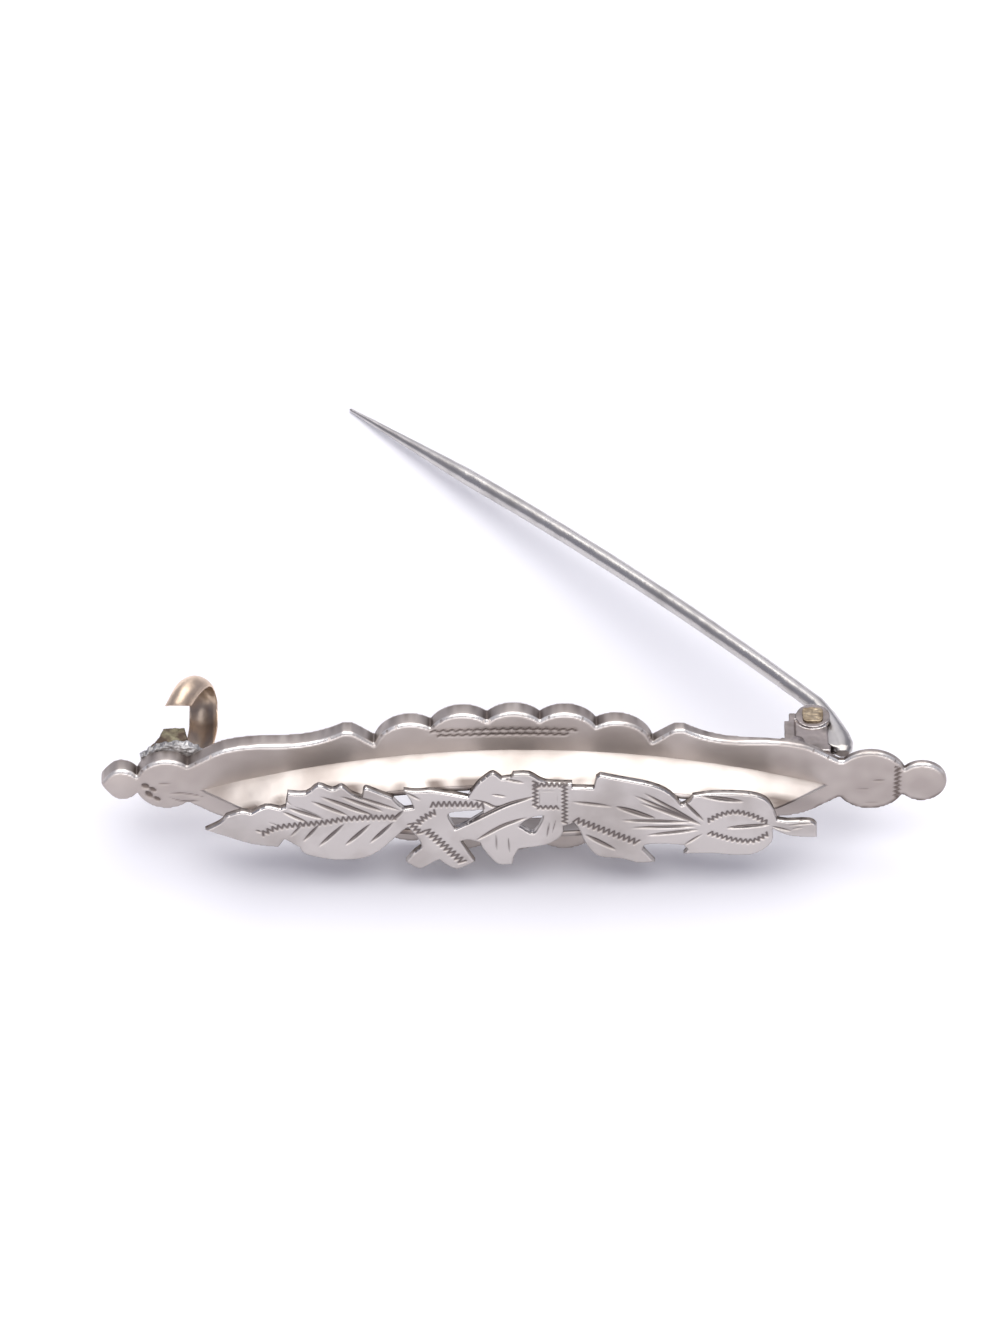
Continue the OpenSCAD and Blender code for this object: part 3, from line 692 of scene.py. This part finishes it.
def pointed(loop):
    """The left tip lobe is drawn out to a blunt point; the others stay round."""
    share = np.clip((LEFT_TIP[0] - loop[:, 0]) / LEFT_TIP[2], 0, 1)
    return np.column_stack([loop[:, 0], loop[:, 1] * (1 - TIP_NARROWS * share ** 2) + TIP_RISES * share])


OUTLINE = pointed(plane_loops("frame", 0.0)[0])

# The ring's section, as (inset, n): its foot, outer face, crest, inside and back edge
RING_FOOT = [(-0.04, -0.1), (0.02, 0.03)]
RING_OUTER = [(LEAN_RATE * n, n) for n in np.linspace(0.2, RING_RISE - 0.1, 8)]
RING_CREST = [(0.89, 2.06), (0.93, RING_RISE), (1.1, RING_RISE), (1.27, RING_RISE), (1.3, 2.05)]
RING_INNER = [(RING_WALL + LEAN_RATE * n, n) for n in np.linspace(RING_RISE - 0.2, -SHEET + 0.02, 8)]
RING_BACK = [(0.0, -SHEET + 0.02)]
RING_COUNT, RING_WOBBLE = 150, 0.02
# The most darkening, as an engraver's depth: painted shade and grime at the ring's foot and crest,
# painted shade on its lower half and inside it, and the cap on their sum
FOOT_SHADE_AND_GRIME, CREST_SHADE_AND_GRIME, BELOW_SHADE, HOLLOW_SHADE, MOST_DARKENING = 0.035, 0.085, 0.075, 0.09, 0.1


def build_ring():
    """The raised ring, with painted shade and grimy darkening at the foot and along the crest behind the
    overlay's leaf, ribbon and stem, and painted shade on its lower half and inside.
    """
    profile = RING_FOOT + RING_OUTER + RING_CREST + RING_INNER + RING_BACK
    crest_end = len(RING_FOOT + RING_OUTER + RING_CREST) - 2
    count = RING_COUNT
    rings = [np.column_stack([lens_points(i, count), np.full(2 * count, n)]) for i, n in profile]
    flat = np.vstack(rings)
    flat[:, 1] += uneven(flat[:, :2] + flat[:, 2:3], 0.7, 8.0) * RING_WOBBLE
    faces = []
    around = 2 * count
    for k in range(len(profile)):
        ahead = (k + 1) % len(profile)
        for i in range(around):
            j = (i + 1) % around
            faces.append((k * around + j, k * around + i, ahead * around + i, ahead * around + j))
    ring = object_from("ring", place(flat), faces, RING_SILVER)
    # painted shade and grime in the crease at the ring's foot
    at_foot = np.exp(-((flat[:, 2] - 0.05) / 0.12) ** 2) * np.clip((flat[:, 0] + 15) / 4, 0.2, 1)
    behind_leaf = np.exp(-((flat[:, 0] + 11.6) / 2.4) ** 2)
    behind_ribbon = np.exp(-((flat[:, 0] + 1.2) / 1.6) ** 2)
    behind_stem = np.exp(-((flat[:, 0] - 16.0) / 1.5) ** 2)
    reach_down = 0.75 + 0.5 * behind_leaf + 0.35 * behind_stem
    # painted shade and grime along the crest, where the overlay lies on it
    at_crest = np.clip((flat[:, 2] - RING_RISE + reach_down) / 0.4, 0, 1)
    # painted shade on the ring's lower half, which faces down
    below = np.clip((-RING_DROP - flat[:, 1]) / 0.5, 0, 1)
    # painted shade inside the ring
    hollow = np.repeat([1.0 if k > crest_end else 0.0 for k in range(len(profile))], around)
    patchy = np.clip(0.6 + 2.2 * uneven(flat, 0.8, 4.0) + behind_ribbon + 0.7 * behind_stem
                     + 0.3 * behind_leaf, 0, 1.3)
    darkening = (FOOT_SHADE_AND_GRIME * at_foot + CREST_SHADE_AND_GRIME * at_crest * patchy + BELOW_SHADE * below
            + HOLLOW_SHADE * hollow)
    # the cut layer carries the ring's painted shade and grime
    paint(ring, "cut", np.clip(darkening, 0, MOST_DARKENING))
    paint(ring, "tarnish_and_shade", stains_and_shade_on(flat, RING_STAINS))
    paint(ring, "rub_highlight", np.zeros(len(flat)))
    return ring


def build_plate():
    hole = lens_points(HOLE_INSET, 160)
    plate = slab("frame_silver", [OUTLINE, hole], PLATE_STEP, plate_front, plate_back, PLATE_WALL,
                 PLATE_SILVER, grime_and_shade=PLATE_NOTCHES, stains_and_shade=PLATE_STAINS_AND_SHADE)
    return join(plate, build_ring())


finish_piece(build_plate(), "brooch", "frame")


# the pierced and engraved overlay
SPRAY_STAINS = [(-16.0, -1.2, 2.0, 1.2, 0.4), (-5.0, -0.2, 2.0, 1.2, 0.35), (16.8, -1.4, 2.0, 0.8, 0.8),
                (5.5, -2.5, 2.5, 1.0, 0.35), (2.2, 1.1, 1.5, 1.5, 0.3), (7.2, 0.7, 2.4, 1.4, 0.6)]
SPRAY_STEP, SPRAY_ROUND, SPRAY_BACK_ROUND, SPRAY_WAVES, SPRAY_OVERLAP = 0.062, 0.11, 0.05, 0.02, 0.01
# The overlay's edge is painted darker towards its back, where it meets the ring: painted shade and solder
# grime.
SPRAY_WALL = [(0.15, 0.0, 0.0), (0.42, 0.0, 0.02), (0.68, 0.0, 0.1), (0.9, 0.0, 0.1)]


def spray_front(points, depth):
    cut, dark = engrave(points, LEAF_CUTS + RIBBON_CUTS + BUD_CUTS, SPRAY_ZIGZAGS)
    n = SPRAY_FRONT - rounding(depth, SPRAY_ROUND) + SPRAY_WAVES * uneven(points, 0.8, 5.0)
    return n - cut, dark


def spray_back(points, depth):
    return SPRAY_BACK - SPRAY_OVERLAP + rounding(depth, SPRAY_BACK_ROUND)


def build_spray():
    return slab("leaf_spray_silver", plane_loops("leaf_spray", SPRAY_FRONT), SPRAY_STEP, spray_front,
                spray_back, SPRAY_WALL, SPRAY_SILVER, stains_and_shade=SPRAY_STAINS)


finish_piece(build_spray(), "brooch", "leaf_spray")


# Fittings are put together from plain forms on the flat brooch and remeshed soft, like worn metal
def circle(centre, radius, around=32, power=2.0):
    """Points round a circle or, with a higher power, round a square with soft corners."""
    ring = []
    for k in range(around):
        a = 2 * math.pi * k / around
        reach = radius / (abs(math.cos(a)) ** power + abs(math.sin(a)) ** power) ** (1 / power)
        ring.append((centre[0] + reach * math.cos(a), centre[1] + reach * math.sin(a)))
    return ring


def disc(parts, centre, radius, low, high, around=48, power=2.0):
    """A round or squarish plate from v = low to high."""
    return prism(parts, circle(centre, radius, around, power), low, high)


def prism(parts, outline, low, high):
    """Extrudes an outline in x and n from v = low to high."""
    area = sum(a[0] * b[1] - b[0] * a[1] for a, b in zip(outline, outline[1:] + outline[:1]))
    ring = outline if area > 0 else outline[::-1]
    count = len(ring)
    points = [(x, low, n) for x, n in ring] + [(x, high, n) for x, n in ring]
    faces = [tuple(range(count)), tuple(range(2 * count - 1, count - 1, -1))]
    faces += [(i, i + count, (i + 1) % count + count, (i + 1) % count) for i in range(count)]
    parts.append((points, faces))
    return parts


def tube_faces(rows, around):
    """The faces of a tube of rows of points, closed at both ends."""
    faces = [tuple(range(around)), tuple(range(rows * around - 1, (rows - 1) * around - 1, -1))]
    for k in range(rows - 1):
        for i in range(around):
            j = (i + 1) % around
            faces.append((k * around + i, (k + 1) * around + i, (k + 1) * around + j, k * around + j))
    return faces


def ball(parts, centre, radii):
    """An oval lump with half-widths along x, v and n."""
    bm = bmesh.new()
    bmesh.ops.create_icosphere(bm, subdivisions=3, radius=1.0)
    points = [tuple(np.array(centre) + np.array(vert.co) * radii) for vert in bm.verts]
    index = {vert: i for i, vert in enumerate(bm.verts)}
    parts.append((points, [tuple(index[vert] for vert in face.verts) for face in bm.faces]))
    bm.free()
    return parts


def soft(name, parts, material, voxel, rounds, rough, rough_scale, dirt_and_shade=None):
    """One worn piece from closed parts: remeshed at a voxel in mm, smoothed and roughened by noise of a height
    in mm.
    A darkening function, if given, tells for flat points and normals how dark each point is painted, as an
    engraver's depth: grimy darkening on the pin's tab, painted shade inside the catch's curl."""
    points, faces = [], []
    for part_points, part_faces in parts:
        faces += [tuple(i + len(points) for i in f) for f in part_faces]
        points += part_points
    obj = object_from(name, place(points), faces, material)
    bm = bmesh.new()
    bm.from_mesh(obj.data)
    bmesh.ops.remove_doubles(bm, verts=bm.verts, dist=1e-7)
    bmesh.ops.recalc_face_normals(bm, faces=bm.faces)
    bm.to_mesh(obj.data)
    bm.free()
    remesh = obj.modifiers.new("remesh", "REMESH")
    remesh.mode = "VOXEL"
    remesh.voxel_size = voxel * MM
    remesh.use_smooth_shade = True
    soften = obj.modifiers.new("soften", "SMOOTH")
    soften.factor = 0.5
    soften.iterations = rounds
    graph = bpy.context.evaluated_depsgraph_get()
    done = bpy.data.meshes.new_from_object(obj.evaluated_get(graph))
    obj.modifiers.clear()
    obj.data = done
    done.materials.clear()
    done.materials.append(material)
    co = vertices_of(done)
    normals = np.zeros(co.size)
    done.vertices.foreach_get("normal", normals)
    normals = normals.reshape(-1, 3)
    spots = [Vector(p) for p in co / MM * rough_scale]
    height = np.array([noise.noise(q) + 0.5 * noise.noise(q * 2.3) for q in spots])
    co += normals * (height * rough * MM)[:, None]
    done.vertices.foreach_set("co", co.ravel())
    done.update()
    # painted darkening: painted shade inside the catch's curl, grime on the pin's tab
    paint(obj, "cut", dirt_and_shade(lay(co), normals @ BASIS.T) if dirt_and_shade else np.zeros(len(co)))
    for polygon in done.polygons:
        polygon.use_smooth = True
    return obj


# the catch
CURL_V, CURL_BACK, CURL_R, RIBBON_T, RIBBON_HALF = 1.5, 5.3, 1.9, 0.35, 0.85
LEG_X, TONGUE_X, TONGUE_END, PATCH_BACK = -18.4, -19.86, -45.0, 1.5
CUP, EDGE_THIN, BULGE, BULGE_AT, BULGE_REACH, TIP_THIN = 0.48, 0.2, 0.12, 0.65, 0.18, 0.06
LEG_STEPS, CURL_STEPS, SHIFT_FROM, SHIFT_POWER = 16, 48, 0.26, 1.5


def ribbon_section(x, v, back, heading, half=RIBBON_HALF):
    """One cupped section of the ribbon: its middle stands furthest out from the curl's middle."""
    out = np.array((0, math.cos(heading), -math.sin(heading)))
    ring = []
    for w, face in [(w, 1) for w in np.linspace(-1, 1, 15)] + [(w, 0) for w in np.linspace(1, -1, 15)]:
        thick = RIBBON_T * (1 - EDGE_THIN * w * w)
        edge = (1 - abs(w) ** 12) * 0.5 + 0.5
        sink = CUP * w * w + (0 if face else thick)
        middle = CUP * w * w + thick / 2
        ring.append(np.array((x + half * w, v, -back)) - out * (middle + (sink - middle) * edge))
    return ring


def catch_ribbon():
    """A straight leg up from the patch, then the curl, which drifts sideways towards the tongue."""
    rings = []
    for back in np.linspace(PATCH_BACK - 0.15, CURL_BACK, LEG_STEPS)[:-1]:
        lean = 0.3 * ((CURL_BACK - back) / 2.1) ** 2
        rings.append(ribbon_section(LEG_X - lean, CURL_V - CURL_R, back, math.pi))
    for i in range(CURL_STEPS + 1):
        share = i / CURL_STEPS
        turn = math.pi + (math.radians(TONGUE_END) - math.pi) * share
        shift = max(0.0, (share - SHIFT_FROM) / (1 - SHIFT_FROM)) ** SHIFT_POWER
        half = RIBBON_HALF + BULGE * math.exp(-((share - BULGE_AT) / BULGE_REACH) ** 2) - TIP_THIN * share
        rings.append(ribbon_section(LEG_X + (TONGUE_X - LEG_X) * shift, CURL_V + CURL_R * math.cos(turn),
                                    CURL_BACK + CURL_R * math.sin(turn), turn, half))
    points = [tuple(p) for ring in rings for p in ring]
    # painted shade inside the curl and the leg
    return soft("catch_ribbon", [(points, tube_faces(len(rings), len(rings[0])))], GILT, voxel=0.04,
                rounds=3, rough=0.012, rough_scale=1.5, dirt_and_shade=ribbon_shade)


def ribbon_shade(points, normals):
    """The inside of the curl and of the leg is painted with shade, except along the leg's lit edge."""
    inward = np.column_stack([CURL_V - points[:, 1], np.minimum(-CURL_BACK - points[:, 2], 0)])
    inward /= np.linalg.norm(inward, axis=1)[:, None] + 1e-9
    facing = (normals[:, 1:] * inward).sum(1)
    lit_edge = np.clip((LEG_X + 0.66 - points[:, 0]) / 0.14, 0, 1)
    return 0.1 * np.clip((facing - 0.2) / 0.5, 0, 1) * lit_edge


# The foot block's outline and its base's, in x and n
FOOT_FRONT = [(-20.73, -3.0), (-19.47, -3.02), (-19.33, -2.3), (-19.2, -1.5), (-21.5, -1.45), (-21.2, -1.8),
              (-20.93, -2.35)]
FOOT_BASE = [(-21.1, -1.35), (-17.6, -1.35), (-17.6, -1.75), (-21.1, -1.75)]
FOOT_LOW, FOOT_HIGH, BASE_LOW, BASE_HIGH = 0.8, 1.9, -0.4, 1.2


def catch_foot():
    parts = prism([], FOOT_FRONT, FOOT_LOW, FOOT_HIGH)
    prism(parts, FOOT_BASE, BASE_LOW, BASE_HIGH)
    return soft("catch_foot", parts, OLIVE_GILT, voxel=0.045, rounds=2, rough=0.025, rough_scale=2.6)


# The solder patch's jagged outline in x and v
PATCH = [(-22.1, 1.15), (-21.95, 1.5), (-21.75, 1.42), (-21.6, 1.75), (-21.3, 1.78), (-21.15, 2.0),
         (-20.85, 2.02), (-20.6, 2.2), (-20.3, 2.16), (-20.0, 2.28), (-19.6, 2.2), (-19.3, 2.24),
         (-19.0, 2.02), (-18.7, 1.9), (-18.3, 1.5), (-17.7, 1.2), (-17.1, 0.9), (-17.4, 0.1),
         (-17.5, -0.9), (-19.2, -1.0), (-21.6, -0.7), (-22.2, -0.2), (-21.9, 0.5)]
PATCH_FRONT, PATCH_SOFT, LUMPS_BACK = 1.1, 0.02, 1.45
# Lumps of solder: x, v and half-width across the bar
SOLDER_LUMPS = [(-21.7, 1.25, 0.26), (-21.2, 1.7, 0.2), (-18.9, 1.5, 0.3), (-18.2, 0.8, 0.32),
                (-17.7, 0.3, 0.26)]


def catch_solder():
    points = [(x, v, -PATCH_BACK - PATCH_SOFT) for x, v in PATCH] + [(x, v, -PATCH_FRONT) for x, v in PATCH]
    count = len(PATCH)
    faces = [tuple(range(count)), tuple(range(2 * count - 1, count - 1, -1))]
    faces += [(i, (i + 1) % count, (i + 1) % count + count, i + count) for i in range(count)]
    parts = [(points, faces)]
    for x, v, size in SOLDER_LUMPS:
        ball(parts, (x, v, -LUMPS_BACK), (size * 1.6, size, size * 0.8))
    return soft("catch_solder", parts, SOLDER, voxel=0.045, rounds=2, rough=0.09, rough_scale=3.4)


# the hinge and the pin
PIN_V, TAB_T = PIVOT[1], 0.7
EAR_LOW, EAR_HIGH, EAR_T, EAR_R = 0.27, 1.58, 0.45, 1.0


def box(parts, x0, x1, v0, v1, back0, back1):
    """A block between two values each of x, v and distance behind the plate's front."""
    return prism(parts, [(x0, -back0), (x1, -back0), (x1, -back1), (x0, -back1)], v0, v1)


# Worn steps beside the ears: left and right end, both left of the pivot, height above the upper ear's
# foot and distance behind the plate's front
HINGE_STEPS = [(1.42, 1.08, 0.42, 3.8), (1.7, 1.48, 0.4, 3.1), (1.7, 0.8, 0.3, 2.6), (1.42, 0.7, 0.3, 3.25)]


def hinge_block():
    """The two ears with their webs, the base that joins them and the worn steps beside them."""
    x, n = PIVOT[0], PIVOT[2]
    parts = disc([], (x, n), EAR_R + 0.02, EAR_HIGH + 0.08, EAR_HIGH + EAR_T)
    upper_web = [(x - 1.35, -SHEET), (x + 0.95, -SHEET), (x + 0.8, n), (x - 0.8, n)]
    lower_web = [(x - 1.4, -SHEET), (x + 1, -SHEET), (x + 1, n), (x - 1, n)]
    prism(parts, upper_web, EAR_HIGH, EAR_HIGH + 0.3)
    disc(parts, (x, n), EAR_R, EAR_LOW, EAR_LOW + EAR_T)
    prism(parts, lower_web, EAR_LOW, EAR_LOW + EAR_T)
    box(parts, x - 1.72, x + 1, EAR_LOW, EAR_HIGH + EAR_T, SHEET - 0.05, 0.9)
    for left, right, high, back in HINGE_STEPS:
        box(parts, x - left, x - right, EAR_HIGH, EAR_HIGH + high, SHEET, back)
    ball(parts, (x - 1.0, 1.75, -1.3), (0.5, 0.3, 0.6))
    block = soft("hinge_block", parts, HINGE_SILVER, voxel=0.042, rounds=4, rough=0.02, rough_scale=1.6)
    # painted highlight on the hinge's edges that face up and forward
    rub_and_highlight_edges(block, 0.0)
    return block


SHANK_R, HEAD_R, TAIL_R, HEAD_OVERLAP = 0.4, 0.62, 0.58, 0.02
RIVET_LOW, RIVET_HIGH = 0.17, 2.16


def hinge_rivet():
    """A round shank with a squarish hammered head at each end."""
    spot = (PIVOT[0], PIVOT[2])
    parts = disc([], spot, SHANK_R, 0.2, 2.1, around=32)
    disc(parts, spot, HEAD_R, EAR_HIGH + EAR_T - HEAD_OVERLAP, RIVET_HIGH, power=4.5)
    disc(parts, spot, TAIL_R, RIVET_LOW, EAR_LOW + HEAD_OVERLAP, power=4.0)
    return soft("rivet_brass", parts, RIVET_BRASS, voxel=0.03, rounds=4, rough=0.035, rough_scale=3.0)


def hull(points):
    """The outline, anticlockwise, of the smallest convex shape that holds the points."""
    def half(ordered):
        out = []
        for q in ordered:
            while len(out) > 1 and np.cross(np.subtract(out[-1], out[-2]), np.subtract(q, out[-2])) <= 0:
                out.pop()
            out.append(q)
        return out[:-1]
    ordered = sorted(set(points))
    return half(ordered) + half(ordered[::-1])


# The wire's route in x and n, from its point to the tab's tail, with its half-width and half-thickness
POINT, BOW_END, BOW_MID, ROOT = (-9.744, -33.055), (-2.684, -26.698), (8.344, -16.768), (18.001, -5.501)
TAIL_ROUTE = [(18.62, -4.35, 0.56, 0.43), (18.98, -3.4, 0.62, 0.42), (19.28, -2.55, 0.68, 0.42),
              (19.44, -1.9, 0.68, 0.42), (19.48, -1.4, 0.6, 0.4), (19.46, -1.05, 0.4, 0.28)]
WIRE_R, POINT_R = 0.5, 0.11
TAPER_STEPS, BOW_STEPS, BLUNT = 14, 30, 0.012


def pin_route():
    """A straight taper from the point, then the bowed wire, then the tail."""
    point, end, mid, root = (np.array(q) for q in (POINT, BOW_END, BOW_MID, ROOT))
    route = [(*point, POINT_R * 0.5, POINT_R * 0.5)]
    for t in np.linspace(BLUNT, 1, TAPER_STEPS):
        r = POINT_R + (WIRE_R - POINT_R) * t
        route.append((*(point + (end - point) * t), r, r))
    for t in np.linspace(0, 1, BOW_STEPS)[1:]:
        spot = end * (1 - t) ** 2 + 2 * mid * t * (1 - t) + root * t ** 2
        route.append((*spot, WIRE_R, WIRE_R))
    return route + TAIL_ROUTE


def swept_wire(route, around=24):
    """The closed skin of a wire of oval section along the route."""
    points = []
    for k, (x, n, wide, thick) in enumerate(route):
        before, after = route[max(k - 1, 0)], route[min(k + 1, len(route) - 1)]
        heading = np.array((after[0] - before[0], after[1] - before[1]))
        side = np.array((-heading[1], heading[0])) / np.linalg.norm(heading)
        for i in range(around):
            a = 2 * math.pi * i / around
            points.append((x + side[0] * wide * math.cos(a), PIN_V + thick * math.sin(a),
                           n + side[1] * wide * math.cos(a)))
    return points, tube_faces(len(route), around)


def pin_wire():
    """The wire with its flat tab, which turns on the rivet and reaches to the wire's root and its tail."""
    at_rivet, at_root, at_tail = (PIVOT[0], PIVOT[2]), (18.1, -5.1), (19.1, -1.75)
    tab = hull(circle(at_rivet, 1.02) + circle(at_root, 0.35) + circle(at_tail, 0.45))
    parts = prism([swept_wire(pin_route())], tab, PIN_V - TAB_T / 2, PIN_V + TAB_T / 2)
    return soft("pin_wire", parts, PIN_STEEL, voxel=0.05, rounds=5, rough=0.012, rough_scale=0.8,
                dirt_and_shade=pin_dirt)


def pin_dirt(points, normals):
    """The tab is grimy near the ears."""
    near = np.exp(-((np.hypot(points[:, 0] - 18.3, points[:, 2] + 2.6)) / 1.5) ** 2)
    return np.clip(0.05 * near * (0.8 + uneven(points, 1.5, 7.0)), 0, 0.1)


finish_piece(catch_solder(), "brooch", "catch_plate")
finish_piece(catch_ribbon(), "brooch", "catch_hook")
finish_piece(catch_foot(), "brooch", None)
finish_piece(hinge_block(), "brooch", "hinge")
finish_piece(hinge_rivet(), "brooch", "hinge_rivet")
finish_piece(pin_wire(), "pin", "pin")


# table, light and camera
def aimed(obj, at, target=(0, 0, 0)):
    """Puts a lamp at a place and points it at the target."""
    obj.location = at
    obj.rotation_mode = "QUATERNION"
    obj.rotation_quaternion = (Vector(target) - Vector(at)).to_track_quat("-Z", "Y")


TABLE_SIZE, TABLE_DROP, TABLE_WHITE = 3.0, 0.00002, (0.935, 0.935, 0.985, 1)


def table():
    material, _, shader = node_material("table_white")
    shader.inputs["Base Color"].default_value = TABLE_WHITE
    shader.inputs["Roughness"].default_value = 0.8
    bpy.ops.mesh.primitive_plane_add(size=TABLE_SIZE, location=(0, 0, -TABLE_DROP))
    bpy.context.object.name = "table"
    bpy.context.object.data.materials.append(material)


# Soft boxes: name, place in metres, width and height in metres, power in watts and colour
LAMPS = [("overhead", (0.02, 0.07, 0.5), (0.62, 0.62), 2.9, (1.0, 0.98, 0.945)),
         ("front", (0.0, -0.6, 0.17), (1.15, 0.36), 2.5, (1.0, 0.97, 0.94)),
         ("backdrop", (-0.05, 0.9, 0.5), (0.7, 0.7), 1.0, (0.98, 0.97, 1.0))]
WORLD_COLOUR, WORLD_STRENGTH = (0.81, 0.82, 1.0, 1), 0.37


def lights():
    world = bpy.data.worlds.new("studio")
    bpy.context.scene.world = world
    world.use_nodes = True
    background = world.node_tree.nodes["Background"]
    background.inputs["Color"].default_value = WORLD_COLOUR
    background.inputs["Strength"].default_value = WORLD_STRENGTH
    for name, at, size, power, colour in LAMPS:
        data = bpy.data.lights.new(name, "AREA")
        data.energy = power
        data.shape = "RECTANGLE"
        data.size, data.size_y = size
        data.color = colour
        lamp = bpy.data.objects.new(name, data)
        aimed(lamp, at)
        bpy.context.scene.collection.objects.link(lamp)


# The photograph's camera: degrees above the plate's normal, degrees of roll, and distances in metres
CAMERA_ABOVE, CAMERA_ROLL = 41.0, 0.48
CAMERA_AWAY, CAMERA_RIGHT, CAMERA_UP = 1.0, -0.00136, 0.00698
PIXELS_PER_METRE = 16900 / 1330


def camera():
    tilt = math.radians(CAMERA_ABOVE) + math.atan2(V_DIR[1], V_DIR[2])
    roll = math.radians(CAMERA_ROLL)
    back = Vector((0, -math.cos(tilt), math.sin(tilt)))
    level_up = Vector((0, math.sin(tilt), math.cos(tilt)))
    across = Vector((1, 0, 0))
    up = level_up * math.cos(roll) + across * math.sin(roll)
    right = across * math.cos(roll) - level_up * math.sin(roll)
    data = bpy.data.cameras.new("photo_camera")
    data.lens = data.sensor_width * CAMERA_AWAY * PIXELS_PER_METRE
    data.clip_start = 0.01
    data.clip_end = 10
    cam = bpy.data.objects.new("photo_camera", data)
    bpy.context.scene.collection.objects.link(cam)
    middle = Vector((CAMERA_RIGHT, *place((0, 0, 0))[1:]))
    turn = Matrix((right, up, back)).transposed().to_4x4()
    cam.matrix_world = Matrix.Translation(middle + level_up * CAMERA_UP + back * CAMERA_AWAY) @ turn
    bpy.context.scene.camera = cam


table()
lights()
camera()
bpy.context.scene.view_settings.view_transform = "Standard"
